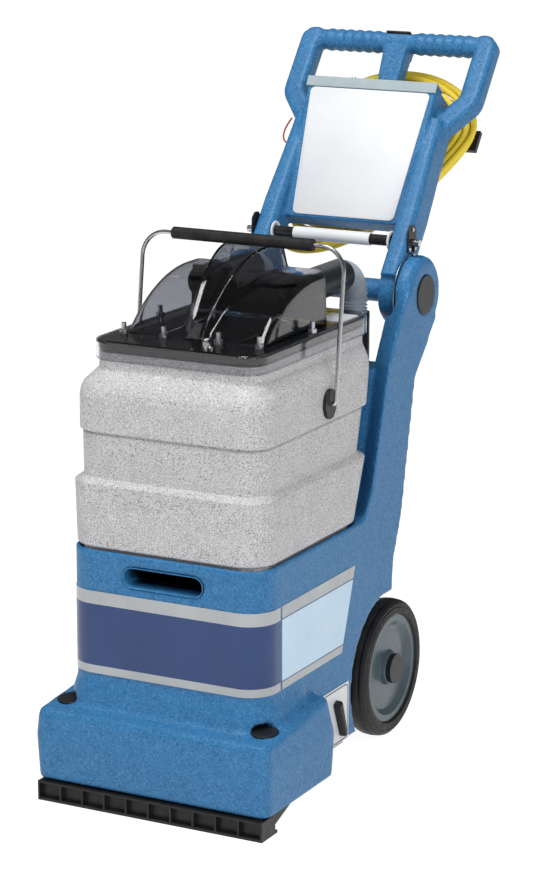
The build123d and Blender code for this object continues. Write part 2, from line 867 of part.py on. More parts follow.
with BuildPart() as hose_spigots:
    for hand in both_hands:
        spigot_base = Plane(origin=(hand * hose_x, hose_turn + hose_bend, tower_top))
        extrude(disc(spigot_base, hose_root - slip), amount=-tower_wall)
        extrude(disc(spigot_base, cuff_r), amount=spigot_flange)
        extrude(disc(spigot_base, hose_r - slip), amount=hose_end - tower_top - 2)
        through = disc(spigot_base.offset(-tower_wall - 7), hose_bore)
        extrude(through, amount=hose_end - tower_top + tower_wall + 6, mode=Mode.SUBTRACT)
finish(hose_spigots, "hose_spigots")

# Axle, wheels and caps
axle_end = wheel_x + hub_half + axle_cap_long - 2
with BuildPart() as axle:
    extrude(disc(cross_plane(-axle_end, axle_y, wheel_r), axle_r), amount=2 * axle_end)
finish(axle, "axle")


def wheel_section(hand):
    # A sketch plane through the wheel's axis: across the wheel, then outward
    return Plane(origin=(hand * wheel_x, axle_y, wheel_r), x_dir=(1, 0, 0), z_dir=(0, -1, 0))


axle_line = Axis((0, axle_y, wheel_r), (1, 0, 0))
half_tyre = tyre_wide / 2
tread_half = half_tyre - tyre_shoulder


def tyre_face(hand):
    # Half section of a tyre
    return polygon(
        wheel_section(hand),
        (-half_tyre, hub_r),
        (-half_tyre, wheel_r - tyre_shoulder),
        (-tread_half, wheel_r),
        (tread_half, wheel_r),
        (half_tyre, wheel_r - tyre_shoulder),
        (half_tyre, hub_r),
    )


def hub_face(hand):
    # Half section of a dished hub
    return polygon(
        wheel_section(hand),
        (-hub_half + 1, hub_r - run_fit),
        (-hub_half + 1, hub_r - 10),
        (-hub_half / 2 + 1, hub_r - 18),
        (-hub_half / 2, hub_boss_r + 2),
        (-hub_half, hub_boss_r),
        (-hub_half, axle_r + run_fit),
        (hub_half, axle_r + run_fit),
        (hub_half, hub_boss_r),
        (hub_half / 2, hub_boss_r + 2),
        (hub_half / 2 - 1, hub_r - 18),
        (hub_half - 1, hub_r - 10),
        (hub_half - 1, hub_r - run_fit),
    )


with BuildPart() as left_tyre:
    revolve(tyre_face(-1), axis=axle_line)
finish(left_tyre, "left_tyre")

with BuildPart() as left_hub:
    revolve(hub_face(-1), axis=axle_line)
finish(left_hub, "left_hub")

with BuildPart() as right_tyre:
    revolve(tyre_face(1), axis=axle_line)
finish(right_tyre, "right_tyre")

with BuildPart() as right_hub:
    revolve(hub_face(1), axis=axle_line)
finish(right_hub, "right_hub")

with BuildPart() as axle_caps:
    for hand in both_hands:
        cap_base = cross_plane(hand * (wheel_x + hub_half + slip), axle_y, wheel_r)
        extrude(disc(cap_base, axle_cap_r), amount=hand * axle_cap_long)
        extrude(disc(cap_base, axle_r), amount=hand * (axle_cap_long - 2 - slip), mode=Mode.SUBTRACT)
finish(axle_caps, "axle_caps")

# Selector: plate on the right side and a lever that turns on it
with BuildPart() as selector_plate:
    panel = rect(Plane.YZ.offset(box_half), selector_front, plate_foot, selector_back, plate_head)
    extrude(panel, amount=selector_thick)
    plate_bore = disc(cross_plane(box_half - 1, dial_y, dial_z), dial_shaft_r + run_fit)
    extrude(plate_bore, amount=selector_thick + 2, mode=Mode.SUBTRACT)
finish(selector_plate, "selector_plate")

with BuildPart() as selector_knob:
    dial_x = box_half + selector_thick + slip
    dial_root = box_half - shell_wall
    extrude(disc(cross_plane(dial_root, dial_y, dial_z), dial_shaft_r), amount=dial_x - dial_root)
    extrude(disc(cross_plane(dial_x, dial_y, dial_z), dial_r), amount=dial_high)
    with BuildSketch(cross_plane(dial_x + dial_high, dial_y, dial_z)) as lever:
        SlotOverall(lever_long, lever_wide, rotation=110)
    extrude(lever.sketch, amount=lever_high)
finish(selector_knob, "selector_knob")

# Pivot shaft, its end caps and the friction washers
with BuildPart() as pivot_shaft:
    shaft_end = box_half - cap_sunk
    extrude(disc(cross_plane(-shaft_end, pivot_y, pivot_z), shaft_r), amount=2 * shaft_end)
finish(pivot_shaft, "pivot_shaft")

with BuildPart() as pivot_caps:
    for hand in both_hands:
        extrude(disc(cross_plane(hand * shaft_end, pivot_y, pivot_z), cap_r), amount=hand * cap_thick)
    chamfer(pivot_caps.edges().group_by(Axis.X)[0], 1)
    chamfer(pivot_caps.edges().group_by(Axis.X)[-1], 1)
finish(pivot_caps, "pivot_caps")

with BuildPart() as friction_washers:
    washer_thick = head_in - arm_low_out - 2 * slip
    for hand in both_hands:
        washer_plane = cross_plane(hand * (head_in - slip), pivot_y, pivot_z)
        extrude(ring(washer_plane, washer_r, shaft_r + run_fit), amount=-hand * washer_thick)
        for lock_plane in lock_planes:
            gate_plane = lock_plane.offset(hand * (head_in - slip))
            gate = rect(gate_plane, slot_near, -slot_half, pocket_r, slot_half)
            extrude(gate, amount=-hand * washer_thick, mode=Mode.SUBTRACT)
finish(friction_washers, "friction_washers")

# Cross tube around the shaft, between the handle's two feet
with BuildPart() as pivot_tube:
    tube_end = arm_in - slip
    extrude(ring(cross_plane(-tube_end, pivot_y, pivot_z), tube_r, shaft_r + run_fit), amount=2 * tube_end)
finish(pivot_tube, "pivot_tube")

# Handle frame: two arms, the wedge-shaped control case, the grip loop and the middle post
with BuildPart() as case_form:
    case_side = polygon(
        handle_side.offset(-case_head_half),
        (case_foot, case_rear),
        (case_foot, case_foot_front),
        (case_head, case_head_front),
        (case_head, case_rear),
    )
    extrude(case_side, amount=2 * case_head_half)
    case_plan = polygon(
        handle_plane,
        (-case_foot_half, case_foot),
        (case_foot_half, case_foot),
        (case_head_half, case_head),
        (-case_head_half, case_head),
    )
    extrude(case_plan, amount=2 * case_head_front, mode=Mode.INTERSECT)

with BuildPart() as arm_form:
    arm_plan = polygon(
        handle_plane.offset(arm_rear),
        (arm_in, 0),
        (arm_low_out, 0),
        (arm_low_out, 110),
        (arm_mid_out, 190),
        (arm_top_out, arm_top),
        (arm_top_in, arm_top),
        (arm_in, case_foot),
    )
    extrude(arm_plan, amount=arm_front - arm_rear)
    long_edges = arm_form.edges().filter_by(lambda edge: abs((edge % 0.5).dot(along_dir)) > 0.9)
    fillet(long_edges, arm_round)
    extrude(disc(handle_side.offset(arm_in), lug_r), amount=arm_low_out - arm_in)

with BuildPart() as leg_form:
    # One leg of the grip loop: out from the arm, then up beside the bar
    with BuildLine(handle_plane.offset(bar_out)) as leg_path:
        FilletPolyline(
            (arm_top_out - leg_wide / 2 - 1, neck_along - 60),
            (arm_top_out - leg_wide / 2 + 4, neck_along),
            (leg_half, shoulder_along),
            (leg_half, bar_along + bar_r),
            radius=[30, 20],
        )
    leg_wire = leg_path.line
    leg_start = Plane(origin=leg_wire @ 0, x_dir=out_dir.cross(leg_wire % 0), z_dir=leg_wire % 0)
    with BuildSketch(leg_start) as leg_face:
        RectangleRounded(leg_wide, leg_deep, leg_round)
    sweep(leg_face.sketch, path=leg_wire)
    leg_top = leg_form.faces().sort_by(Axis(tuple(pivot), tuple(along_dir)))[-1]
    fillet(leg_top.edges(), leg_round - 1)

post_top = bar_along + bar_r - post_under
post_foot = case_head - 10
with BuildPart() as handle_frame:
    add(case_form.part)
    add(arm_form.part)
    add(mirror(arm_form.part, about=Plane.YZ, mode=Mode.PRIVATE))
    add(leg_form.part)
    add(mirror(leg_form.part, about=Plane.YZ, mode=Mode.PRIVATE))
    bar_at = handle_point(-leg_half, bar_along, bar_out)
    extrude(disc(cross_plane(bar_at.X, bar_at.Y, bar_at.Z), bar_r), amount=2 * leg_half)
    for hand in both_hands:
        for rib in range(rib_count):
            rib_x = hand * (rib_start + rib * rib_pitch)
            rib_at = handle_point(rib_x, bar_along, bar_out)
            half_rib = rib_long / 2
            with BuildSketch(Plane(origin=rib_at, x_dir=(1, 0, 0), z_dir=out_dir)) as rib_face:
                with BuildLine():
                    ThreePointArc((-half_rib, rib_root), (0, rib_r), (half_rib, rib_root))
                    Polyline((half_rib, rib_root), (half_rib, 0), (-half_rib, 0), (-half_rib, rib_root))
                make_face()
            revolve(rib_face.sketch, axis=Axis(tuple(bar_at), (1, 0, 0)))
    post_plan = polygon(
        handle_plane.offset(post_foot_rear),
        (-post_foot_half, post_foot),
        (post_foot_half, post_foot),
        (post_head_half, post_top),
        (-post_head_half, post_top),
    )
    post_block = extrude(post_plan, amount=post_front - post_foot_rear, mode=Mode.PRIVATE)
    post_side = polygon(
        handle_side.offset(-post_head_half - 1),
        (post_foot, post_foot_rear),
        (post_foot, post_foot_front),
        (post_top, post_front),
        (post_top, post_rear),
    )
    post_wedge = extrude(post_side, amount=2 * post_head_half + 2, mode=Mode.PRIVATE)
    add(post_block & post_wedge)
    relief = polygon(
        handle_side.offset(-post_head_half),
        (post_top - paddle_drop, post_rear - 1),
        (post_top, post_front - 8),
        (post_top, post_front + 2),
        (post_top + 3 * post_under, post_front + 2),
        (post_top + 3 * post_under, post_rear - 8),
        (post_top - paddle_drop, post_rear - 8),
    )
    extrude(relief, amount=2 * post_head_half, mode=Mode.SUBTRACT)
    case_room = polygon(
        handle_side.offset(-cover_half + cover_rim),
        (cover_foot + cover_rim, case_rear - 1),
        (cover_foot + cover_rim, case_foot_front - 3),
        (cover_head - cover_rim, case_head_front - 12),
        (cover_head - cover_rim, case_rear - 1),
    )
    extrude(case_room, amount=2 * (cover_half - cover_rim), mode=Mode.SUBTRACT)
    for hand in both_hands:
        lug_bore = disc(cross_plane(hand * (arm_in - 1), pivot_y, pivot_z), shaft_r + run_fit)
        extrude(lug_bore, amount=hand * (arm_low_out - arm_in + 2), mode=Mode.SUBTRACT)
        slot_plane = rod_axis_plane.offset(hand * (arm_in - 2))
        rod_slot = rect(slot_plane, slot_near, -slot_half, slot_far, slot_half)
        extrude(rod_slot, amount=hand * (arm_low_out - arm_in + 4), mode=Mode.SUBTRACT)
finish(handle_frame, "handle_frame")

# Cover on the operator's side of the control case, with two rocker openings
rocker_half = rocker_long / 2 + rocker_play_end
rocker_sides = rocker_wide / 2 + rocker_play_side
with BuildPart() as rear_cover:
    extrude(rect(handle_plane, -cover_half, cover_foot, cover_half, cover_head), amount=case_rear)
    for hand in both_hands:
        window = rect(
            handle_plane.offset(-1),
            hand * rocker_side - rocker_sides,
            rocker_along - rocker_half,
            hand * rocker_side + rocker_sides,
            rocker_along + rocker_half,
        )
        extrude(window, amount=case_rear + 2, mode=Mode.SUBTRACT)
finish(rear_cover, "rear_cover")

with BuildPart() as cover_screws:
    for across in (-cover_half + 8, cover_half - 8):
        for along in (cover_foot + 8, cover_head - 8):
            screw_at = handle_point(across, along, 0)
            screw_plane = Plane(origin=screw_at, x_dir=(1, 0, 0), z_dir=-out_dir)
            extrude(disc(screw_plane, 2 * screw_r), amount=screw_high)
finish(cover_screws, "cover_screws")


def rocker_face(hand):
    # Side view of a rocker: a shallow V on the operator's side
    across = hand * rocker_side - rocker_wide / 2
    return polygon(
        handle_side.offset(across),
        (rocker_along - rocker_long / 2, rocker_in),
        (rocker_along + rocker_long / 2, rocker_in),
        (rocker_along + rocker_long / 2, -rocker_out),
        (rocker_along, -rocker_out + 2),
        (rocker_along - rocker_long / 2, -rocker_out),
    )


with BuildPart() as vac_switch:
    extrude(rocker_face(-1), amount=rocker_wide)
finish(vac_switch, "vac_switch")

with BuildPart() as brush_switch:
    extrude(rocker_face(1), amount=rocker_wide)
finish(brush_switch, "brush_switch")

# Sign on the sloping front of the case, and the bright strip over its top edge
slope_long = hypot(case_head - case_foot, case_head_front - case_foot_front)
slope_along = (case_head - case_foot) / slope_long
slope_out = (case_head_front - case_foot_front) / slope_long


def slope_point(distance, lift):
    # A point on the case's sloping front: distance up from its foot, and lift off the face
    along = case_foot + distance * slope_along - lift * slope_out
    out = case_foot_front + distance * slope_out + lift * slope_along
    return (along, out)


sign_end = slope_long - strip_high
with BuildPart() as sign_panel:
    sign_side = polygon(
        handle_side.offset(-sign_head_half),
        slope_point(sign_margin, 0),
        slope_point(sign_end - 1, 0),
        slope_point(sign_end - 1, sign_thick),
        slope_point(sign_margin, sign_thick),
    )
    extrude(sign_side, amount=2 * sign_head_half)
    sign_plan = polygon(
        handle_plane,
        (-sign_foot_half, case_foot),
        (sign_foot_half, case_foot),
        (sign_head_half, case_head),
        (-sign_head_half, case_head),
    )
    extrude(sign_plan, amount=2 * case_head_front, mode=Mode.INTERSECT)
finish(sign_panel, "sign_panel")

with BuildPart() as top_strip:
    strip_side = polygon(
        handle_side.offset(-strip_half),
        slope_point(sign_end, 0),
        (case_head, case_head_front),
        (case_head, case_head_front - strip_deep),
        (case_head + strip_thick, case_head_front - strip_deep),
        (case_head + strip_thick, case_head_front + strip_thick),
        slope_point(sign_end, strip_thick),
    )
    extrude(strip_side, amount=2 * strip_half)
finish(top_strip, "top_strip")

with BuildPart() as strip_knob:
    knob_at = handle_point(knob_x, case_head + strip_thick, case_head_front - strip_deep / 2)
    extrude(disc(Plane(origin=knob_at, x_dir=(1, 0, 0), z_dir=along_dir), knob_r), amount=knob_high)
    chamfer(strip_knob.edges().sort_by(Axis.Z)[-1], 1.2)
finish(strip_knob, "strip_knob")

# Thumb paddle on the post
with BuildPart() as spray_paddle:
    paddle_side = polygon(
        handle_side.offset(-post_head_half + 1),
        (post_top + paddle_gap, post_rear - 1),
        (post_top + paddle_gap, post_front),
        (post_top + paddle_gap + paddle_thick, post_front),
        (post_top + paddle_gap + paddle_thick, post_rear - 1),
    )
    extrude(paddle_side, amount=2 * post_head_half - 2)
finish(spray_paddle, "spray_paddle")

# Lock rod with its sleeve, and the latch plates on the arms
rod_at = handle_point(0, rod_along, rod_out)
with BuildPart() as lock_rod:
    rod_half = arm_in - 1
    extrude(disc(cross_plane(-rod_half, rod_at.Y, rod_at.Z), rod_r), amount=2 * rod_half)
    extrude(disc(cross_plane(-pin_end, rod_at.Y, rod_at.Z), pin_r), amount=2 * pin_end)
finish(lock_rod, "lock_rod")

with BuildPart() as rod_sleeve:
    sleeve_at = cross_plane(-sleeve_half, rod_at.Y, rod_at.Z)
    extrude(ring(sleeve_at, sleeve_r, rod_r + run_fit), amount=2 * sleeve_half)
finish(rod_sleeve, "rod_sleeve")

with BuildPart() as latch_plates:
    for hand in both_hands:
        latch_shape = polygon(
            rod_axis_plane.offset(hand * arm_low_out),
            (latch_near, -latch_half),
            (latch_far - 8, -latch_half),
            (latch_far, -latch_half + 8),
            (latch_far, latch_half - 8),
            (latch_far - 8, latch_half),
            (latch_near, latch_half),
        )
        extrude(latch_shape, amount=hand * latch_thick)
        gate = rect(rod_axis_plane.offset(hand * arm_low_out), slot_near, -slot_half, slot_far, slot_half)
        extrude(gate, amount=hand * latch_thick, mode=Mode.SUBTRACT)
finish(latch_plates, "latch_plates")

with BuildPart() as latch_screws:
    for hand in both_hands:
        latch_face = rod_axis_plane.offset(hand * (arm_low_out + latch_thick))
        for reach, aside in ((latch_near + 5, -9), (latch_near + 5, 9), (latch_far - 7, 0)):
            with BuildSketch(latch_face) as screw_head:
                with Locations((reach, aside)):
                    Circle(screw_r)
            extrude(screw_head.sketch, amount=hand * screw_high)
finish(latch_screws, "latch_screws")

# Cord hooks, gland, plug and tie behind the control case
with BuildPart() as cord_hooks:
    for hand in both_hands:
        base = rect(
            handle_plane,
            hand * hook_base_in,
            hook_low,
            hand * hook_base_out,
            hook_high + hook_base_more - 2,
        )
        extrude(base, amount=case_rear)
        stem = rect(handle_plane.offset(hook_back), hand * hook_in, hook_low, hand * hook_out, hook_high)
        extrude(stem, amount=-hook_back)
        lip = rect(handle_plane.offset(hook_back), hand * hook_in, hook_low, hand * hook_tip, hook_high)
        extrude(lip, amount=hook_lip)
finish(cord_hooks, "cord_hooks")

with BuildPart() as cord_gland:
    block = rect(
        handle_plane.offset(coil_layer_a - gland_half / 2),
        cord_side - gland_half,
        gland_foot,
        cord_side + gland_half,
        gland_top,
    )
    extrude(block, amount=-coil_layer_a + gland_half / 2)
    boot_foot = handle_point(cord_side, gland_top, coil_layer_a + 4)
    boot_tip = handle_point(cord_side, cord_end_along, coil_layer_a)
    boot_low = disc(Plane(origin=boot_foot, x_dir=(1, 0, 0), z_dir=along_dir), gland_base_r)
    boot_high = disc(Plane(origin=boot_tip, x_dir=(1, 0, 0), z_dir=along_dir), gland_tip_r)
    loft([boot_low, boot_high])
finish(cord_gland, "cord_gland")

# Cord: one unbroken tube in two layers of loops, growing outward and then back inward
stops_each = 8          # stops in each turn
last_stop = stops_each * coil_turns
half_stop = last_stop // 2


def coil_point(turn):
    # A point of the cord's middle line after so many turns
    grow = coil_pitch * min(turn, coil_turns - turn, coil_turns / 2 - 0.25)
    climb = min(max(2 * (turn - coil_turns / 2) + 0.5, 0), 1)
    out = coil_layer_a + (coil_layer_b - coil_layer_a) * climb
    angle = radians(360 * turn)
    hang = max(0, -cos(angle)) * (coil_in_down + coil_fall * grow)
    side = sin(angle)
    half = coil_left_half + coil_left_share * grow if side > 0 else coil_in_half + grow
    across = -half * side - coil_drift * hang
    along = max(0, cos(angle)) * (coil_in_up + grow) - hang
    return handle_point(across, coil_along + along, out)


def coil_stop(step):
    # Point and heading of the cord at one of the stops
    turn = step / stops_each
    ahead = coil_point(min(turn + 0.002, coil_turns))
    behind = coil_point(max(turn - 0.002, 0))
    return coil_point(turn), (ahead - behind).normalized()


def biarc_join(here, ahead):
    # Where the two arcs of a biarc meet, and its heading there
    span = ahead[0] - here[0]
    spread = 2 * (1 - here[1].dot(ahead[1]))
    pull = span.dot(here[1] + ahead[1])
    reach = (-pull + sqrt(pull * pull + spread * span.dot(span))) / spread
    corner_a = here[0] + here[1] * reach
    corner_b = ahead[0] - ahead[1] * reach
    return (corner_a + corner_b) / 2, corner_b - corner_a


tail_long = 2 * cord_r
plug_along = cord_end_along - 2
cord_start = handle_point(cord_side, cord_end_along, coil_layer_a)
cord_lead = handle_point(cord_side, cord_end_along + tail_long, coil_layer_a)
plug_lead = handle_point(-cord_side, plug_along + tail_long, coil_layer_b)
plug_point = handle_point(-cord_side, plug_along, coil_layer_b)
coil_stops = [(cord_lead, along_dir)]
for step in range(last_stop + 1):
    coil_stops.append(coil_stop(step))
coil_stops.append((plug_lead, -along_dir))

with BuildPart() as cord_coil:
    with BuildLine() as coil_path:
        Line(cord_start, cord_lead)
        for here, ahead in zip(coil_stops, coil_stops[1:]):
            join, heading = biarc_join(here, ahead)
            TangentArc(here[0], join, tangent=here[1])
            TangentArc(join, ahead[0], tangent=heading)
        Line(plug_lead, plug_point)
    cord_wire = coil_path.wires()[0]
    sweep(disc(Plane(origin=cord_start, z_dir=along_dir), cord_r), path=cord_wire)
finish(cord_coil, "cord_coil")

# The cord's length and the smallest gap between neighbouring loops, from points along its middle line
point_count = int(cord_wire.length / 3)
cord_points = [cord_wire @ (index / point_count) for index in range(point_count + 1)]
loop_skip = 12
smallest = 1000.0
for index, point in enumerate(cord_points):
    for other in cord_points[index + loop_skip :]:
        if abs(point.X - other.X) < 13 and abs(point.Z - other.Z) < 13:
            smallest = min(smallest, (point - other).length)
print("cord length", round(cord_wire.length), "smallest gap between loops", round(smallest - 2 * cord_r, 2))

with BuildPart() as mains_plug:
    plug_plane = Plane(origin=plug_point, x_dir=(1, 0, 0), z_dir=-along_dir)
    with BuildSketch(plug_plane) as plug_neck:
        Circle(gland_tip_r)
    with BuildSketch(plug_plane.offset(plug_long / 3)) as plug_body:
        RectangleRounded(plug_wide, plug_deep, 6)
    loft([plug_neck.sketch, plug_body.sketch])
    extrude(plug_body.sketch, amount=plug_long * 2 / 3)
    for hand in both_hands:
        blade_plane = plug_plane.offset(plug_long)
        extrude(rect(blade_plane, hand * 6.3 - 0.8, -5, hand * 6.3 + 0.8, 1.5), amount=pin_long)
    with BuildSketch(plug_plane.offset(plug_long)) as ground_pin:
        with Locations((0, 7)):
            Circle(2.4)
    extrude(ground_pin.sketch, amount=pin_long + 2)
finish(mains_plug, "mains_plug")

# Tie around the loops at the left, with a loose tail
loops_grow = coil_pitch * (coil_turns / 2 - 0.25)
tie_hang = coil_along - tie_along
tie_shift = coil_drift * tie_hang
tie_inner = -coil_left_half - tie_shift + cord_r + tie_gap + 6
tie_outer = -coil_left_half - coil_left_share * loops_grow - tie_shift - cord_r - tie_gap - 2
tie_near = coil_layer_a + cord_r + tie_gap
tie_far = coil_layer_b - cord_r - tie_gap
tie_plane = Plane(origin=handle_point(0, tie_along - tie_wide / 2, 0), x_dir=(1, 0, 0), z_dir=along_dir)
with BuildPart() as cord_tie:
    # In this plane the second coordinate counts backward from the handle
    band_a = (tie_outer - tie_thick, -tie_near - tie_thick)
    band_b = (tie_inner + tie_thick, -tie_far + tie_thick)
    extrude(rect(tie_plane, *band_a, *band_b), amount=tie_wide)
    extrude(rect(tie_plane, tie_outer, -tie_near, tie_inner, -tie_far), amount=tie_wide, mode=Mode.SUBTRACT)
    tail_mid = -(tie_near + tie_far) / 2
    tail = rect(tie_plane, tie_outer - tie_tail, tail_mid, tie_outer - tie_thick / 2, tail_mid + tie_thick)
    extrude(tail, amount=tie_wide)
finish(cord_tie, "cord_tie")


# Recovery tank: a stepped hollow body, open at the neck
def tank_form(inset, low, high):
    # The tank's outer form drawn in by the given inset, from low to high
    def level(z, half, back, corner):
        return slab(z, half - inset, tank_front + band_half - half + inset, back - inset, corner - inset)

    levels = [
        level(low, band_half - 7, tank_back_low, tank_corner),
        level(tank_low + 10, band_half - 2, tank_back_low + 5, tank_corner),
        level(band_top, band_half, tank_back_band, tank_corner),
        level(waist_low, waist_half, tank_back_band - 8, tank_corner),
        level(waist_top, waist_half + 0.5, tank_back_upper - 8, tank_corner),
        level(upper_low, upper_half, tank_back_upper, tank_corner),
        level(upper_top, upper_half, tank_back_upper + 10, tank_corner),
        level(neck_low, neck_half + 1, tank_back_neck - 1, neck_corner),
        level(high, neck_half, tank_back_neck, neck_corner),
    ]
    return loft(levels, ruled=True)


with BuildPart() as tank_outer:
    tank_form(0, tank_low, neck_top)
with BuildPart() as tank_inner:
    tank_form(tank_wall, tank_low + tank_wall, neck_top + 1)
with BuildPart() as recovery_tank:
    add(tank_outer.part)
    foot_half = band_half - foot_inset
    foot_back = tank_back_low - foot_inset
    foot_corner = tank_corner - foot_inset
    foot_low = tray_floor
    foot = slab(foot_low, foot_half, tank_front + foot_inset, foot_back, foot_corner)
    extrude(foot, amount=tank_low - foot_low + 1)
    foot_gap = slab(
        foot_low,
        foot_half - foot_wide,
        tank_front + foot_inset + foot_wide,
        foot_back - foot_wide,
        foot_corner - foot_wide,
    )
    extrude(foot_gap, amount=tank_low - foot_low, mode=Mode.SUBTRACT)
    add(tank_inner.part, mode=Mode.SUBTRACT)
finish(recovery_tank, "recovery_tank")

# Bail: ears on the tank, a bent wire and its grip
with BuildPart() as bail_ears:
    for hand in both_hands:
        ear_plane = cross_plane(hand * upper_half, bail_y, bail_z)
        with BuildSketch(ear_plane) as ear:
            Ellipse(ear_wide, ear_high)
            Circle(bail_r + run_fit, mode=Mode.SUBTRACT)
        extrude(ear.sketch, amount=hand * ear_thick)
finish(bail_ears, "bail_ears")

bail_rise = Vector(0, sin(radians(bail_lean)), cos(radians(bail_lean)))
bail_plane = Plane(origin=(0, bail_y, bail_z), x_dir=(1, 0, 0), z_dir=Vector(1, 0, 0).cross(bail_rise))
with BuildPart() as bail_wire:
    wire_start = upper_half + 2 * slip
    with BuildLine(bail_plane) as bail_path:
        FilletPolyline(
            (wire_start, 0),
            (bail_half, 0),
            (bail_half, bail_reach),
            (-bail_half, bail_reach),
            (-bail_half, 0),
            (-wire_start, 0),
            radius=[bail_toe, bail_bend, bail_bend, bail_toe],
        )
    bail_line = bail_path.line
    sweep(disc(Plane(origin=bail_line @ 0, z_dir=bail_line % 0), bail_r), path=bail_line)
finish(bail_wire, "bail_wire")

with BuildPart() as bail_grip:
    grip_at = Vector(0, bail_y, bail_z) + bail_rise * bail_reach
    grip_plane = cross_plane(-grip_half, grip_at.Y, grip_at.Z)
    extrude(ring(grip_plane, grip_r, bail_r + run_fit), amount=2 * grip_half)
    fillet(bail_grip.edges().filter_by(GeomType.CIRCLE).filter_by(lambda edge: edge.radius > bail_r + 1), 2)
finish(bail_grip, "bail_grip")

# Lid: gasket, black plate with two air openings, clear cover
neck_front = tank_front + band_half - neck_half
with BuildPart() as lid_gasket:
    extrude(slab(neck_top, neck_half, neck_front, tank_back_neck, neck_corner), amount=gasket_thick)
    gasket_hole = slab(
        neck_top,
        neck_half - gasket_wide,
        neck_front + gasket_wide,
        tank_back_neck - gasket_wide,
        neck_corner - gasket_wide,
    )
    extrude(gasket_hole, amount=gasket_thick, mode=Mode.SUBTRACT)
finish(lid_gasket, "lid_gasket")

plate_low = neck_top + gasket_thick
plate_top = plate_low + plate_thick
flange_top = plate_top + clear_wall
with BuildPart() as lid_plate:
    extrude(slab(plate_low, plate_half, plate_front, plate_back, plate_corner), amount=plate_thick)
    for hand in both_hands:
        duct = disc(Plane(origin=(hand * hose_x * 0.8, duct_y, plate_low - 1)), duct_r)
        extrude(duct, amount=plate_thick + 2, mode=Mode.SUBTRACT)
finish(lid_plate, "lid_plate")


def lobe_form(inset):
    # The two side lobes as one rounded hump
    rear = dome_back - inset
    top = lobe_top - inset
    arc_end = lobe_front + lobe_rise
    arc_r = (lobe_rise**2 + (lobe_top - plate_top) ** 2) / (2 * (lobe_top - plate_top)) - inset
    arc_low = top - arc_r
    arc_foot = arc_end - sqrt(arc_r**2 - (plate_top - arc_low) ** 2)
    arc_mid = (arc_end - arc_r * sin(radians(25)), arc_low + arc_r * cos(radians(25)))
    with BuildPart() as hump:
        with BuildSketch(Plane.YZ.offset(-lobe_half + inset)) as hump_side:
            with BuildLine():
                ThreePointArc((arc_foot, plate_top), arc_mid, (arc_end, top))
                Line((arc_end, top), (rear, top))
                Polyline((rear, top), (rear, plate_top), (arc_foot, plate_top))
            make_face()
        extrude(hump_side.sketch, amount=2 * (lobe_half - inset))
        middle = hump.faces().filter_by(lambda face: abs(face.center().X) < 5)
        crown = middle.filter_by(lambda face: face.center().Z > plate_top + 20 and face.center().Y < rear - 1)
        crown_edges = crown.edges().filter_by(lambda edge: abs(edge.center().X) > lobe_half - inset - 1)
        fillet(crown_edges, lobe_round - inset)
    return hump.part


def spine_form(inset):
    # The raised middle channel, widening toward the back
    with BuildPart() as channel:
        with BuildSketch(Plane.YZ.offset(-spine_back_half - 20)) as channel_side:
            with BuildLine():
                ThreePointArc(
                    (spine_front + inset, plate_top),
                    (spine_front + 57 + inset / 2, spine_top - 40 - inset * 0.8),
                    (spine_front + 152, spine_top - inset),
                )
                Polyline(
                    (spine_front + 152, spine_top - inset),
                    (dome_back - inset, spine_top - inset),
                    (dome_back - inset, plate_top),
                    (spine_front + inset, plate_top),
                )
            make_face()
        extrude(channel_side.sketch, amount=2 * spine_back_half + 40)
        channel_plan = polygon(
            Plane.XY.offset(plate_top),
            (-spine_foot_half + inset, spine_front - 1),
            (spine_foot_half - inset, spine_front - 1),
            (spine_back_half - inset, dome_back + 1),
            (-spine_back_half + inset, dome_back + 1),
        )
        extrude(channel_plan, amount=spine_top, mode=Mode.INTERSECT)
        high = channel.edges().filter_by(lambda edge: edge.center().Z > plate_top + 40)
        rim = high.filter_by(lambda edge: abs(edge.center().X) > 5 and abs((edge % 0.5).Z) < 0.95)
        fillet(rim, spine_round - inset)
    return channel.part


with BuildPart() as dome:
    skirt_half = plate_half + skirt_gap + clear_wall
    skirt_front = plate_front - skirt_gap - clear_wall
    skirt_back = plate_back + skirt_gap + clear_wall
    skirt_corner = plate_corner + skirt_gap + clear_wall
    skirt = slab(skirt_low, skirt_half, skirt_front, skirt_back, skirt_corner)
    extrude(skirt, amount=flange_top - skirt_low)
    skirt_room = slab(
        skirt_low,
        skirt_half - clear_wall,
        skirt_front + clear_wall,
        skirt_back - clear_wall,
        skirt_corner - clear_wall,
    )
    extrude(skirt_room, amount=plate_top - skirt_low, mode=Mode.SUBTRACT)
    add(lobe_form(0))
    add(spine_form(0))
    add(lobe_form(clear_wall), mode=Mode.SUBTRACT)
    add(spine_form(clear_wall), mode=Mode.SUBTRACT)
    for hand in both_hands:
        port_at = (hand * hose_x, dome_back - lobe_round, hose_z)
        port_plane = Plane(origin=port_at, x_dir=(1, 0, 0), z_dir=(0, 1, 0))
        extrude(disc(port_plane, cuff_r + cuff_fit), amount=2 * lobe_round, mode=Mode.SUBTRACT)
finish(dome, "dome")

# Studs with nuts that hold the cover to the plate
with BuildPart() as lid_studs:
    row_x = plate_half - 23
    side_x = plate_half - 7.5
    front_row = [(stud_x, stud_front) for stud_x in (-row_x, -42, 42, row_x)]
    other_studs = [(-side_x, duct_y - 30), (side_x, duct_y - 30), (-row_x, stud_back), (0, stud_back)]
    for stud_x, stud_y in front_row + other_studs:
        stud_base = Plane(origin=(stud_x, stud_y, flange_top))
        extrude(disc(stud_base, nut_r), amount=nut_high)
        extrude(disc(stud_base, stud_r), amount=stud_high)
finish(lid_studs, "lid_studs")

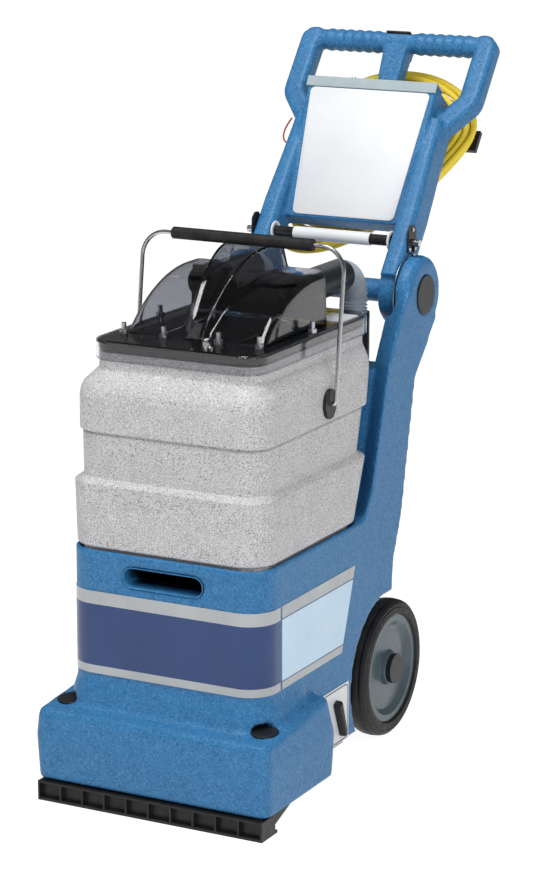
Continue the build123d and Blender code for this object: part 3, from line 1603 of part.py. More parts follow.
with BuildPart() as float_cage:
    cage_top = Plane(origin=(hose_x * 0.8, duct_y, plate_low))
    extrude(ring(cage_top, duct_r + 6, duct_r), amount=-4)
    extrude(ring(cage_top, duct_r + 3, duct_r), amount=-56)
    extrude(disc(cage_top.offset(-60), duct_r + 3), amount=4)
    for turn in range(4):
        with BuildSketch(cross_plane(hose_x * 0.8, duct_y, plate_low - 30)) as gap_face:
            RectangleRounded(20, 34, 6)
        opening = extrude(gap_face.sketch, amount=2 * duct_r, mode=Mode.PRIVATE)
        spun = opening.rotate(Axis((hose_x * 0.8, duct_y, 0), (0, 0, 1)), 90 * turn)
        add(spun, mode=Mode.SUBTRACT)
finish(float_cage, "float_cage")

with BuildPart() as lid_label:
    tag = rect(Plane.XY.offset(flange_top), plate_half - 43, dome_back + 12, plate_half - 3, dome_back + 62)
    extrude(tag, amount=tag_thick)
finish(lid_label, "lid_label")

# Hoses and cuffs
with BuildPart() as hose_cuffs:
    for hand in both_hands:
        upper = Plane(origin=(hand * hose_x, cuff_front, hose_z), x_dir=(1, 0, 0), z_dir=(0, 1, 0))
        extrude(disc(upper, cuff_r), amount=cuff_back - cuff_front)
        extrude(disc(upper, hose_bore), amount=cuff_back - cuff_front, mode=Mode.SUBTRACT)
        socket_long = cuff_back - hose_start
        socket = disc(upper.offset(hose_start - cuff_front), hose_r + cuff_fit)
        extrude(socket, amount=socket_long, mode=Mode.SUBTRACT)
        lower = Plane(origin=(hand * hose_x, hose_turn + hose_bend, low_cuff_foot))
        extrude(ring(lower, cuff_r, hose_r + cuff_fit), amount=low_cuff_top - low_cuff_foot)
finish(hose_cuffs, "hose_cuffs")

straight_long = hose_turn - hose_start
bend_long = hose_bend * radians(90)
drop_long = hose_z - hose_bend - hose_end
hose_long = straight_long + bend_long + drop_long
rib_total = int(hose_long / rib_step)
step_long = hose_long / rib_total


def hose_section(hand, distance, radius):
    # A circle across the hose so far along it: back, round the bend and down
    if distance < straight_long:
        y = hose_start + distance
        z = hose_z
        turn = 0
    elif distance < straight_long + bend_long:
        turn = (distance - straight_long) / hose_bend
        y = hose_turn + hose_bend * sin(turn)
        z = hose_z - hose_bend + hose_bend * cos(turn)
    else:
        turn = radians(90)
        y = hose_turn + hose_bend
        z = hose_z - hose_bend - (distance - straight_long - bend_long)
    across = Plane(origin=(hand * hose_x, y, z), x_dir=(1, 0, 0), z_dir=(0, cos(turn), -sin(turn)))
    return disc(across, radius)


def hose_form(hand):
    # Ribs: four circles each, root, root, crest, crest
    sections = []
    for rib in range(rib_total):
        sections.append(hose_section(hand, rib * step_long, hose_root))
        sections.append(hose_section(hand, (rib + 0.25) * step_long, hose_root))
        sections.append(hose_section(hand, (rib + 0.45) * step_long, hose_r))
        sections.append(hose_section(hand, (rib + 0.8) * step_long, hose_r))
    sections.append(hose_section(hand, hose_long, hose_root))
    with BuildPart() as tube:
        loft(sections, ruled=True)
        with BuildLine() as hose_path:
            Line((hand * hose_x, hose_start, hose_z), (hand * hose_x, hose_turn, hose_z))
            bend_end = Vector(hand * hose_x, hose_turn + hose_bend, hose_z - hose_bend)
            TangentArc((hand * hose_x, hose_turn, hose_z), bend_end, tangent=(0, 1, 0))
            Line(bend_end, (hand * hose_x, hose_turn + hose_bend, hose_end))
        sweep(hose_section(hand, 0, hose_bore), path=hose_path.wires()[0], mode=Mode.SUBTRACT)
    return tube.part


with BuildPart() as suction_hoses:
    for hand in both_hands:
        add(hose_form(hand))
finish(suction_hoses, "suction_hoses")
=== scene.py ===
import math

import bmesh
import bpy
import numpy as np
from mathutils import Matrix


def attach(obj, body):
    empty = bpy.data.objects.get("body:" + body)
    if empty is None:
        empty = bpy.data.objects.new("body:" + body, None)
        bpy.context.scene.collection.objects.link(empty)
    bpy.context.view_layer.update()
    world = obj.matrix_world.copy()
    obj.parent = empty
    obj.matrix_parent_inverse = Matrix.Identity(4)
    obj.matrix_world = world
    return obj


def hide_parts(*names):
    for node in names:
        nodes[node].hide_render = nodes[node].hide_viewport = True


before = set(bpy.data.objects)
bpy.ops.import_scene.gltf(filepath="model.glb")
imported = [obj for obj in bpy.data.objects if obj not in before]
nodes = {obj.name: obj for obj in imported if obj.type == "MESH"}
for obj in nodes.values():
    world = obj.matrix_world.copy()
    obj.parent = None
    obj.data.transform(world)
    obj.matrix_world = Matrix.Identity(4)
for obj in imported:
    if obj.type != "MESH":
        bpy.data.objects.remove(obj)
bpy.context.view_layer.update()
scene = bpy.context.scene
mm = 0.001
hands = ((1, "right"), (-1, "left"))
print("stage: frame with", len(nodes), "nodes")

# Camera of the photograph
cameraSpec = {
    "at": (1.8668, -3.5868, 1.440), "azimuth": 27.8, "pitch": 13.8,
    "lens": 119.04, "sensor": 36.0, "far": 60.0,
}
cameraData = bpy.data.cameras.new("camera")
cameraData.lens = cameraSpec["lens"]
cameraData.sensor_width = cameraSpec["sensor"]
cameraData.clip_end = cameraSpec["far"]
cameraObject = bpy.data.objects.new("camera", cameraData)
cameraObject.location = cameraSpec["at"]
cameraTilt = math.radians(90 - cameraSpec["pitch"])
cameraObject.rotation_euler = (cameraTilt, 0, math.radians(cameraSpec["azimuth"]))
scene.collection.objects.link(cameraObject)
scene.camera = cameraObject

# Frame of the leaning handle: across, along and out of its plane in millimetres, points in metres
handleSpec = {"pivotY": 149.5, "pivotZ": 645.0, "lean": 38.0}
leanSin = math.sin(math.radians(handleSpec["lean"]))
leanCos = math.cos(math.radians(handleSpec["lean"]))


def handlePoint(across, along, out):
    across, along, out = np.broadcast_arrays(np.asarray(across, float), along, out)
    y = handleSpec["pivotY"] + along * leanSin - out * leanCos
    z = handleSpec["pivotZ"] + along * leanCos + out * leanSin
    return np.stack([across, y, z], axis=-1) * mm


# Angles of a ring, without the one that closes it
def fullTurn(count):
    return np.linspace(0, 2 * math.pi, count + 1)[:-1]


# Materials: base colour varied by noise, with flecks, uneven gloss and a fine bump
def newMaterial(name):
    material = bpy.data.materials.new(name)
    material.use_nodes = True
    tree = material.node_tree
    tree.nodes.clear()
    output = tree.nodes.new("ShaderNodeOutputMaterial")
    shader = tree.nodes.new("ShaderNodeBsdfPrincipled")
    coords = tree.nodes.new("ShaderNodeTexCoord")
    tree.links.new(shader.outputs["BSDF"], output.inputs["Surface"])
    return material, tree, shader, coords.outputs["Object"]


def noiseNode(tree, where, scale, detail):
    noise = tree.nodes.new("ShaderNodeTexNoise")
    noise.inputs["Scale"].default_value = scale
    noise.inputs["Detail"].default_value = detail
    tree.links.new(where, noise.inputs["Vector"])
    return noise.outputs["Fac"]


def rangeNode(tree, value, low, high, toLow, toHigh):
    node = tree.nodes.new("ShaderNodeMapRange")
    tree.links.new(value, node.inputs["Value"])
    node.inputs["From Min"].default_value = low
    node.inputs["From Max"].default_value = high
    node.inputs["To Min"].default_value = toLow
    node.inputs["To Max"].default_value = toHigh
    return node.outputs["Result"]


def mixNode(tree, factor, first, second):
    node = tree.nodes.new("ShaderNodeMix")
    node.data_type = "RGBA"
    tree.links.new(factor, node.inputs["Factor"])
    for socket, colour in ((node.inputs["A"], first), (node.inputs["B"], second)):
        if isinstance(colour, tuple):
            socket.default_value = (*colour, 1.0)
        else:
            tree.links.new(colour, socket)
    return node.outputs["Result"]


def mathNode(tree, operation, *values):
    node = tree.nodes.new("ShaderNodeMath")
    node.operation = operation
    for socket, value in zip(node.inputs, values):
        if isinstance(value, float):
            socket.default_value = value
        else:
            tree.links.new(value, socket)
    return node.outputs["Value"]


def axesNode(tree, where):
    node = tree.nodes.new("ShaderNodeSeparateXYZ")
    tree.links.new(where, node.inputs["Vector"])
    return node.outputs


def stepNode(tree, value, start, wide, toLow, toHigh):
    return rangeNode(tree, value, start, start + wide, toLow, toHigh)


# The part of a noise's range that a look is spread over, its details, and gloss over broad scale
noiseSpec = {"low": 0.3, "high": 0.7, "broad": 3.0, "fleck": 1.0, "fine": 2.0, "glossRatio": 2.7}


def spreadNode(tree, noise, toLow, toHigh):
    return rangeNode(tree, noise, noiseSpec["low"], noiseSpec["high"], toLow, toHigh)


def makeLook(spec):
    material, tree, shader, where = newMaterial(spec["name"])
    plain = {
        "Specular IOR Level": "shine", "Metallic": "metal", "IOR": "index",
        "Transmission Weight": "clear",
    }
    for socket, key in plain.items():
        shader.inputs[socket].default_value = spec[key]
    broad = noiseNode(tree, where, spec["broadScale"], noiseSpec["broad"])
    colour = mixNode(tree, spreadNode(tree, broad, 0.0, 1.0), spec["colour"], spec["other"])
    for fleck in spec["flecks"]:
        grain = noiseNode(tree, where, fleck["scale"], noiseSpec["fleck"])
        share = stepNode(tree, grain, fleck["above"], fleck["soft"], 0.0, fleck["share"])
        colour = mixNode(tree, share, colour, fleck["colour"])
    if "ends" in spec:
        ends = spec["ends"]
        side = mathNode(tree, "ABSOLUTE", axesNode(tree, where)["X"])
        atEnd = stepNode(tree, side, ends["from"], ends["edge"], 0.0, 1.0)
        colour = mixNode(tree, atEnd, colour, ends["colour"])
        tree.links.new(atEnd, shader.inputs["Metallic"])
    # The cover's lower rear wall is painted opaque near-black: painted shade, standing in for the dark
    # seen through the clear cover
    if "rear" in spec:
        rear, axes = spec["rear"], axesNode(tree, where)
        behind = stepNode(tree, axes["Y"], rear["from"], rear["edge"], 0.0, 1.0)
        under = stepNode(tree, axes["Z"], rear["top"], rear["topEdge"], 1.0, 0.0)
        rearShade = mathNode(tree, "MULTIPLY", behind, under)
        colour = mixNode(tree, rearShade, colour, rear["colour"])
        clear = rangeNode(tree, rearShade, 0.0, 1.0, spec["clear"], 0.0)
        tree.links.new(clear, shader.inputs["Transmission Weight"])
    tree.links.new(colour, shader.inputs["Base Color"])
    gloss = noiseNode(tree, where, spec["broadScale"] * noiseSpec["glossRatio"], noiseSpec["fine"])
    tree.links.new(spreadNode(tree, gloss, *spec["rough"]), shader.inputs["Roughness"])
    bump = tree.nodes.new("ShaderNodeBump")
    bump.inputs["Strength"].default_value = spec["bump"]
    bump.inputs["Distance"].default_value = spec["bumpDepth"]
    fine = noiseNode(tree, where, spec["bumpScale"], noiseSpec["fine"])
    tree.links.new(fine, bump.inputs["Height"])
    tree.links.new(bump.outputs["Normal"], shader.inputs["Normal"])
    return material


usualLook = {
    "shine": 0.5, "metal": 0.0, "index": 1.48, "clear": 0.0, "bumpDepth": 0.0004, "flecks": [],
}
lookSpecs = {
    "blue_shell": {
        "colour": (0.027, 0.145, 0.322), "other": (0.036, 0.174, 0.372), "broadScale": 60.0,
        "flecks": [
            {"colour": (0.075, 0.25, 0.46), "scale": 330.0, "above": 0.54, "soft": 0.10, "share": 0.55},
            {"colour": (0.008, 0.078, 0.21), "scale": 290.0, "above": 0.56, "soft": 0.10, "share": 0.55},
        ],
        "shine": 0.35, "rough": (0.36, 0.50), "bump": 0.35, "bumpScale": 420.0,
    },
    "grey_tank": {
        "colour": (0.46, 0.455, 0.465), "other": (0.52, 0.515, 0.525), "broadScale": 45.0,
        "flecks": [
            {"colour": (0.12, 0.12, 0.13), "scale": 610.0, "above": 0.57, "soft": 0.06, "share": 0.85},
            {"colour": (0.76, 0.76, 0.77), "scale": 560.0, "above": 0.58, "soft": 0.06, "share": 0.70},
        ],
        "shine": 0.35, "rough": (0.40, 0.55), "bump": 0.3, "bumpScale": 380.0,
    },
    "clear_smoke": {
        "colour": (0.50, 0.51, 0.54), "other": (0.55, 0.56, 0.59), "broadScale": 9.0,
        # Painted shade: the rear wall below the top turns opaque near-black
        "rear": {
            "from": -0.0805, "edge": 0.0006, "top": 0.704, "topEdge": 0.002,
            "colour": (0.012, 0.012, 0.014),
        },
        "rough": (0.015, 0.05), "clear": 1.0, "index": 1.45, "bump": 0.04, "bumpScale": 30.0,
    },
    "clear_skirt": {
        "colour": (0.78, 0.79, 0.82), "other": (0.84, 0.85, 0.87), "broadScale": 9.0,
        "rough": (0.02, 0.06), "clear": 1.0, "index": 1.45, "bump": 0.04, "bumpScale": 30.0,
    },
    "rod_black": {
        "colour": (0.012, 0.012, 0.013), "other": (0.02, 0.02, 0.022), "broadScale": 70.0,
        "ends": {"from": 0.0952, "edge": 0.0003, "colour": (0.62, 0.63, 0.65)},
        "shine": 0.28, "rough": (0.22, 0.34), "bump": 0.1, "bumpScale": 700.0,
    },
    "black_plastic": {
        "colour": (0.012, 0.012, 0.013), "other": (0.02, 0.02, 0.022), "broadScale": 70.0,
        "shine": 0.28, "rough": (0.30, 0.45), "bump": 0.15, "bumpScale": 700.0,
    },
    "white_plastic": {
        "colour": (0.66, 0.675, 0.70), "other": (0.71, 0.725, 0.745), "broadScale": 12.0,
        "rough": (0.28, 0.40), "bump": 0.05, "bumpScale": 250.0,
    },
    "grey_hub": {
        "colour": (0.062, 0.092, 0.110), "other": (0.080, 0.112, 0.130), "broadScale": 40.0,
        "rough": (0.22, 0.34), "bump": 0.12, "bumpScale": 500.0,
    },
    "black_rubber": {
        "colour": (0.013, 0.013, 0.014), "other": (0.024, 0.024, 0.025), "broadScale": 80.0,
        "shine": 0.28, "rough": (0.50, 0.68), "bump": 0.25, "bumpScale": 600.0,
    },
    "tyre_rubber": {
        "colour": (0.012, 0.012, 0.013), "other": (0.022, 0.022, 0.024), "broadScale": 50.0,
        "shine": 0.28, "rough": (0.42, 0.60), "bump": 0.3, "bumpScale": 450.0,
    },
    "steel": {
        "colour": (0.50, 0.51, 0.53), "other": (0.58, 0.59, 0.60), "broadScale": 90.0,
        "rough": (0.25, 0.38), "metal": 1.0, "bump": 0.06, "bumpScale": 900.0,
    },
    "chrome": {
        "colour": (0.72, 0.72, 0.74), "other": (0.80, 0.80, 0.82), "broadScale": 80.0,
        "rough": (0.08, 0.16), "metal": 1.0, "bump": 0.03, "bumpScale": 800.0,
    },
    "strip_aluminium": {
        "colour": (0.33, 0.40, 0.43), "other": (0.37, 0.44, 0.47), "broadScale": 60.0,
        "rough": (0.36, 0.48), "metal": 0.2, "bump": 0.05, "bumpScale": 700.0,
    },
    "yellow_cord": {
        "colour": (0.84, 0.62, 0.035), "other": (0.90, 0.69, 0.06), "broadScale": 35.0,
        "rough": (0.38, 0.52), "bump": 0.12, "bumpScale": 500.0,
    },
    "red_strap": {
        "colour": (0.40, 0.02, 0.02), "other": (0.55, 0.04, 0.035), "broadScale": 300.0,
        "rough": (0.60, 0.80), "bump": 0.6, "bumpScale": 900.0,
    },
    "bristle": {
        "colour": (0.03, 0.03, 0.035), "other": (0.06, 0.06, 0.07), "broadScale": 400.0,
        "rough": (0.45, 0.65), "bump": 0.8, "bumpScale": 1400.0,
    },
    "motor_paint": {
        "colour": (0.07, 0.075, 0.08), "other": (0.10, 0.105, 0.11), "broadScale": 60.0,
        "rough": (0.35, 0.50), "bump": 0.1, "bumpScale": 500.0,
    },
    "hose_grey": {
        "colour": (0.24, 0.28, 0.33), "other": (0.30, 0.345, 0.395), "broadScale": 60.0,
        "rough": (0.30, 0.44), "bump": 0.08, "bumpScale": 500.0,
    },
}
looks = {}
for slotName, spec in lookSpecs.items():
    looks[slotName] = makeLook({"name": slotName, **usualLook, **spec})


# Printed film: a panel between two heights, a thin line round it, a silver band above and below
def makeBands(spec):
    material, tree, shader, where = newMaterial(spec["name"])
    height = axesNode(tree, where)["Z"]
    cloud = noiseNode(tree, where, spec["cloudScale"], noiseSpec["broad"])
    cloud = spreadNode(tree, cloud, 0.0, 1.0)
    panel = mixNode(tree, cloud, spec["panel"], spec["panelOther"])
    colour = mixNode(tree, cloud, spec["band"], spec["bandOther"])
    for margin, paint in ((spec["lineWide"], spec["line"]), (0.0, panel)):
        rise = stepNode(tree, height, spec["low"] - margin, spec["edge"], 0.0, 1.0)
        fall = stepNode(tree, height, spec["high"] + margin, spec["edge"], 1.0, 0.0)
        colour = mixNode(tree, mathNode(tree, "MULTIPLY", rise, fall), colour, paint)
    tree.links.new(colour, shader.inputs["Base Color"])
    gloss = noiseNode(tree, where, spec["glossScale"], noiseSpec["fine"])
    tree.links.new(spreadNode(tree, gloss, *spec["rough"]), shader.inputs["Roughness"])
    return material


usualFilm = {
    "low": 0.193, "high": 0.279, "edge": 0.0004, "rough": (0.20, 0.30),
    "cloudScale": 14.0, "glossScale": 40.0,
    "band": (0.36, 0.38, 0.39), "bandOther": (0.42, 0.44, 0.45),
}
bandSpecs = {
    "front_film": {
        "line": (0.010, 0.036, 0.135), "lineWide": 0.0006,
        "panel": (0.010, 0.036, 0.135), "panelOther": (0.013, 0.044, 0.155),
    },
    "side_film": {
        "line": (0.03, 0.07, 0.16), "lineWide": 0.0018,
        "panel": (0.47, 0.64, 0.79), "panelOther": (0.52, 0.68, 0.82),
    },
}
for filmName, spec in bandSpecs.items():
    looks[filmName] = makeBands({"name": filmName, **usualFilm, **spec})
print("stage:", len(looks), "materials")


# Pieces: numpy grids and tubes as meshes, each riding on its body
def addPiece(name, mesh, look, body, stands):
    piece = bpy.data.objects.new(name, mesh)
    scene.collection.objects.link(piece)
    mesh.materials.clear()
    mesh.materials.append(looks[look])
    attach(piece, body)
    if stands:
        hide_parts(*stands)
    return piece


def gridFaces(rows, columns, wrap):
    row = np.arange(rows - 1)[:, None]
    column = np.arange(columns if wrap else columns - 1)[None, :]
    here = row * columns + column
    side = row * columns + (column + 1) % columns
    return np.stack([here, side, side + columns, here + columns], axis=-1).reshape(-1, 4)


def gridMesh(name, points, wrap, capStart=False, capEnd=False):
    rows, columns = points.shape[:2]
    faces = gridFaces(rows, columns, wrap).tolist()
    if capStart:
        faces.append(list(range(columns))[::-1])
    if capEnd:
        faces.append([(rows - 1) * columns + column for column in range(columns)])
    mesh = bpy.data.meshes.new(name)
    mesh.from_pydata(points.reshape(-1, 3).tolist(), [], faces)
    mesh.update()
    mesh.polygons.foreach_set("use_smooth", np.ones(len(mesh.polygons), bool))
    return mesh


# Sheets: thickness to both sides at offset 0, inward at -1
def thicken(piece, thickness, offset):
    solid = piece.modifiers.new("wall", "SOLIDIFY")
    solid.thickness = thickness
    solid.offset = offset


# Cord: loops growing by one pitch a turn, out in the first layer and back in the second
# across = -half * sin - drift * hang, along = middle + up * max(0, cos) - hang,
# hang = down * max(0, -cos), and the layer changes over one cross run at the middle turn
cordSpec = {
    "pitch": 11.4, "turns": 8, "inHalf": 97.0, "leftHalf": 92.0, "leftShare": 0.93, "inUp": 62.0,
    "inDown": 156.0, "fall": 1.3, "drift": 0.40, "along": 275.0, "layerA": -20.0, "layerB": -31.6,
    "crossRun": 0.5, "side": 52.0, "start": 280.0, "end": 278.0, "straight": 9.5, "radius": 4.75,
    "perTurn": 24, "leadPoints": 7, "bevelSteps": 4, "splineSteps": 4, "order": 3,
}
turns = cordSpec["turns"]
loop = np.linspace(0, turns, turns * cordSpec["perTurn"] + 1)
mostTurns = turns / 2 - cordSpec["crossRun"] / 2
grow = cordSpec["pitch"] * np.minimum(np.minimum(loop, turns - loop), mostTurns)
crossShare = np.clip((loop - turns / 2) / cordSpec["crossRun"] + 0.5, 0, 1)
layer = cordSpec["layerA"] + (cordSpec["layerB"] - cordSpec["layerA"]) * crossShare
loopCos, loopSin = np.cos(2 * math.pi * loop), np.sin(2 * math.pi * loop)
hang = np.maximum(0, -loopCos) * (cordSpec["inDown"] + cordSpec["fall"] * grow)
leftHalf = cordSpec["leftHalf"] + cordSpec["leftShare"] * grow
half = np.where(loopSin > 0, leftHalf, cordSpec["inHalf"] + grow)
loopAlong = cordSpec["along"] + np.maximum(0, loopCos) * (cordSpec["inUp"] + grow) - hang
loops = handlePoint(-half * loopSin - cordSpec["drift"] * hang, loopAlong, layer)
turn = np.linspace(0, math.pi / 2, cordSpec["leadPoints"])
top = cordSpec["along"] + cordSpec["inUp"]
leadFoot = cordSpec["start"] + cordSpec["straight"]
tailFoot = cordSpec["end"] + cordSpec["straight"]
turnCos, turnSin = np.cos(turn), np.sin(turn)
leadAlong, tailAlong = leadFoot + (top - leadFoot) * turnSin, tailFoot + (top - tailFoot) * turnCos
lead = handlePoint(cordSpec["side"] * turnCos, leadAlong, cordSpec["layerA"])
tail = handlePoint(-cordSpec["side"] * turnSin, tailAlong, cordSpec["layerB"])
cordStart = handlePoint(cordSpec["side"], cordSpec["start"], cordSpec["layerA"])[None]
cordEnd = handlePoint(-cordSpec["side"], cordSpec["end"], cordSpec["layerB"])[None]
cordPoints = np.concatenate([cordStart, lead[:-1], loops, tail[1:], cordEnd])
cordCurve = bpy.data.curves.new("cord_loops", "CURVE")
cordCurve.dimensions = "3D"
cordCurve.bevel_depth = cordSpec["radius"] * mm
cordCurve.bevel_resolution = cordSpec["bevelSteps"]
cordCurve.use_fill_caps = True
spline = cordCurve.splines.new("NURBS")
spline.points.add(len(cordPoints) - 1)
spline.points.foreach_set("co", np.c_[cordPoints, np.ones(len(cordPoints))].ravel())
spline.order_u = cordSpec["order"]
spline.use_endpoint_u = True
spline.resolution_u = cordSpec["splineSteps"]
cordPiece = bpy.data.objects.new("cord_loops", cordCurve)
scene.collection.objects.link(cordPiece)
cordCurve.materials.append(looks["yellow_cord"])
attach(cordPiece, "handle")
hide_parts("cord_coil")

# Tie: a narrow strap round the loops at the left, its loose end a thin string that turns up
tieSpec = {
    "along": 246.0, "wide": 8.0, "inner": -92.0, "outer": -150.5, "near": -14.5, "far": -37.0,
    "thick": 0.0012, "power": 5.0, "around": 72, "rows": 5,
    "string": 1.3, "stringAround": 10, "stringRows": 25,
    "bow": [(-149.5, 246, -26), (-172, 240, -26), (-180, 262, -26), (-168, 290, -26)],
}


# sign(wave) * |wave|^(2 / power), the share of the half width in a superellipse
def boxWave(wave, power):
    return np.sign(wave) * np.abs(wave) ** (2 / power)


tieAngle = fullTurn(tieSpec["around"])
tieMidX = (tieSpec["inner"] + tieSpec["outer"]) / 2
tieMidN = (tieSpec["near"] + tieSpec["far"]) / 2
tieHalfX = (tieSpec["inner"] - tieSpec["outer"]) / 2
tieHalfN = (tieSpec["near"] - tieSpec["far"]) / 2
tieX = tieMidX + tieHalfX * boxWave(np.cos(tieAngle), tieSpec["power"])
tieN = tieMidN + tieHalfN * boxWave(np.sin(tieAngle), tieSpec["power"])
tieAcross = np.linspace(-0.5, 0.5, tieSpec["rows"]) * tieSpec["wide"] + tieSpec["along"]
tieMesh = gridMesh("tie_band", handlePoint(tieX[None, :], tieAcross[:, None], tieN[None, :]), True)
tiePiece = addPiece("tie_band", tieMesh, "red_strap", "handle", ["cord_tie"])
thicken(tiePiece, tieSpec["thick"], 0.0)
# A cubic Bezier of the bow's four points, (1-t)^3 a + 3t(1-t)^2 b + 3t^2(1-t) c + t^3 d
bowShare = np.linspace(0, 1, tieSpec["stringRows"])[:, None]
bow = np.array(tieSpec["bow"], float)
bowWeights = np.concatenate([
    (1 - bowShare) ** 3, 3 * bowShare * (1 - bowShare) ** 2,
    3 * bowShare**2 * (1 - bowShare), bowShare**3,
], axis=1)
bowLine = bowWeights @ bow
bowAlong = np.gradient(bowLine, axis=0)
bowSide = np.stack([-bowAlong[:, 1], bowAlong[:, 0], np.zeros(len(bowLine))], axis=-1)
bowSide /= np.linalg.norm(bowSide, axis=1)[:, None]
bowOut = np.array([0, 0, 1.0])
bowTurn = fullTurn(tieSpec["stringAround"])[None, :, None]
bowRing = bowSide[:, None] * np.cos(bowTurn) + bowOut * np.sin(bowTurn)
bowRing = bowLine[:, None] + tieSpec["string"] * bowRing
tailMesh = gridMesh("tie_tail", handlePoint(*np.moveaxis(bowRing, -1, 0)), True, True, True)
tailPiece = addPiece("tie_tail", tailMesh, "red_strap", "handle", [])

bpy.context.view_layer.update()


# Moulded shells: the CAD form merged, remeshed in voxels and smoothed, so that edges turn soft,
# then trimmed by the piece's own function
shellSpec = {"weld": 1e-5, "pull": 0.5, "push": 0.42}


def softShell(spec):
    mesh = nodes[spec["node"]].data.copy()
    work = bmesh.new()
    work.from_mesh(mesh)
    bmesh.ops.remove_doubles(work, verts=work.verts, dist=shellSpec["weld"])
    work.to_mesh(mesh)
    work.free()
    shell = bpy.data.objects.new(spec["name"], mesh)
    scene.collection.objects.link(shell)
    remesh = shell.modifiers.new("remesh", "REMESH")
    remesh.mode = "VOXEL"
    remesh.voxel_size = spec["voxel"]
    remesh.adaptivity = 0.0
    depsgraph = bpy.context.evaluated_depsgraph_get()
    soft = bpy.data.meshes.new_from_object(shell.evaluated_get(depsgraph))
    bpy.data.objects.remove(shell)
    count = len(soft.vertices)
    points = np.empty(count * 3, np.float32)
    soft.vertices.foreach_get("co", points)
    points = points.reshape(-1, 3).astype(float)
    ends = np.empty(len(soft.edges) * 2, np.int32)
    soft.edges.foreach_get("vertices", ends)
    first, second = ends[::2], ends[1::2]
    share = np.bincount(np.r_[first, second], minlength=count)[:, None]
    # Each pass moves points toward the mean of their neighbours by +pull, then by -push
    for factor in [shellSpec["pull"], -shellSpec["push"]] * spec["passes"]:
        total = np.stack([
            np.bincount(first, points[second, axis], count)
            + np.bincount(second, points[first, axis], count)
            for axis in range(3)
        ], axis=-1)
        points = points + factor * (total / share - points)
    points = spec["trim"](points / mm) * mm
    soft.vertices.foreach_set("co", points.astype(np.float32).ravel())
    soft.polygons.foreach_set("use_smooth", np.ones(len(soft.polygons), bool))
    soft.update()
    print("stage:", spec["name"], len(soft.polygons), "faces")
    return addPiece(spec["name"], soft, spec["look"], spec["body"], [spec["node"]])


# The lock pins run in a blind notch of each head, at rest and folded:
# points inside the pin's path move to the notch's floor, walls and end
notchSpec = {
    "reach": 53.24, "direction": (0.052475, 0.998622), "turns": (0.0, -105.0), "clear": 7.2,
    "floorTo": 3.0, "inside": 118.0, "endFrom": 134.6, "end": 142.5, "outside": 147.0,
}


def trimBody(points):
    pivot = np.array([handleSpec["pivotY"], handleSpec["pivotZ"]])
    y, z = notchSpec["direction"]
    for degrees in notchSpec["turns"]:
        headCos, headSin = math.cos(math.radians(degrees)), math.sin(math.radians(degrees))
        direction = np.array([y * headCos - z * headSin, y * headSin + z * headCos])
        across = np.array([-direction[1], direction[0]])
        side = np.abs(points[:, 0])
        reach = (points[:, 1:] - pivot) @ direction - notchSpec["reach"]
        offset = (points[:, 1:] - pivot) @ across
        blocked = (reach > -notchSpec["clear"]) & (np.abs(offset) < notchSpec["clear"])
        blocked &= (side > notchSpec["inside"]) & (side < notchSpec["outside"])
        atFloor = blocked & (reach < notchSpec["floorTo"])
        atEnd = blocked & (side > notchSpec["endFrom"])
        reach = np.where(atFloor, -notchSpec["clear"], reach) + notchSpec["reach"]
        offset = np.where(blocked & ~atFloor, np.copysign(notchSpec["clear"], offset), offset)
        moved = pivot + reach[:, None] * direction + offset[:, None] * across
        points[blocked, 1:] = moved[blocked]
        points[atEnd, 0] = np.copysign(np.maximum(side, notchSpec["end"]), points[:, 0])[atEnd]
    return points


bodySpec = {
    "name": "body_moulding", "node": "body_shell", "body": "base", "look": "blue_shell",
    "trim": trimBody, "voxel": 0.0046, "passes": 4,
}
softShell(bodySpec)

# Outer corners of the loop turn round, and the relief under the paddle is opened a little
gripSpec = {"half": 161.0, "top": 416.2, "round": 20.0, "least": 0.01}
reliefSpec = {
    "half": 20.6, "wallTo": 21.4, "wallEnd": 22.4, "rear": 9.0, "front": 42.0, "beyond": 4.0,
    "low": 402.2, "high": 409.2, "below": 3.0, "under": 2.5, "clear": 0.9,
}


def trimHandle(points):
    behind, above = points[:, 1] - handleSpec["pivotY"], points[:, 2] - handleSpec["pivotZ"]
    along, out = behind * leanSin + above * leanCos, above * leanSin - behind * leanCos
    across, side = points[:, 0], np.abs(points[:, 0])
    cornerX = np.maximum(side - gripSpec["half"] + gripSpec["round"], 0)
    cornerA = np.maximum(along - gripSpec["top"] + gripSpec["round"], 0)
    squeeze = np.maximum(cornerX, cornerA) / np.maximum(np.hypot(cornerX, cornerA), gripSpec["least"])
    atCorner = (cornerX > 0) & (cornerA > 0)
    along = np.where(atCorner, along - cornerA * (1 - squeeze), along)
    side = np.where(atCorner, side - cornerX * (1 - squeeze), side)
    slope = (reliefSpec["high"] - reliefSpec["low"]) / (reliefSpec["front"] - reliefSpec["rear"])
    floor = reliefSpec["low"] + slope * (out - reliefSpec["rear"])
    inRelief = (along > floor - reliefSpec["under"]) & (along > reliefSpec["low"] - reliefSpec["below"])
    inRelief &= (out > 0) & (out < reliefSpec["front"] + reliefSpec["beyond"])
    lowered = np.minimum(along, floor - reliefSpec["clear"])
    along = np.where(inRelief & (side < reliefSpec["half"]), lowered, along)
    atWall = inRelief & (side >= reliefSpec["half"]) & (side < reliefSpec["wallEnd"])
    side = np.where(atWall, np.maximum(side, reliefSpec["wallTo"]), side)
    return handlePoint(np.sign(across) * side, along, out) / mm


handleShellSpec = {
    "name": "handle_moulding", "node": "handle_frame", "body": "handle", "look": "blue_shell",
    "trim": trimHandle, "voxel": 0.0024, "passes": 5,
}
softShell(handleShellSpec)


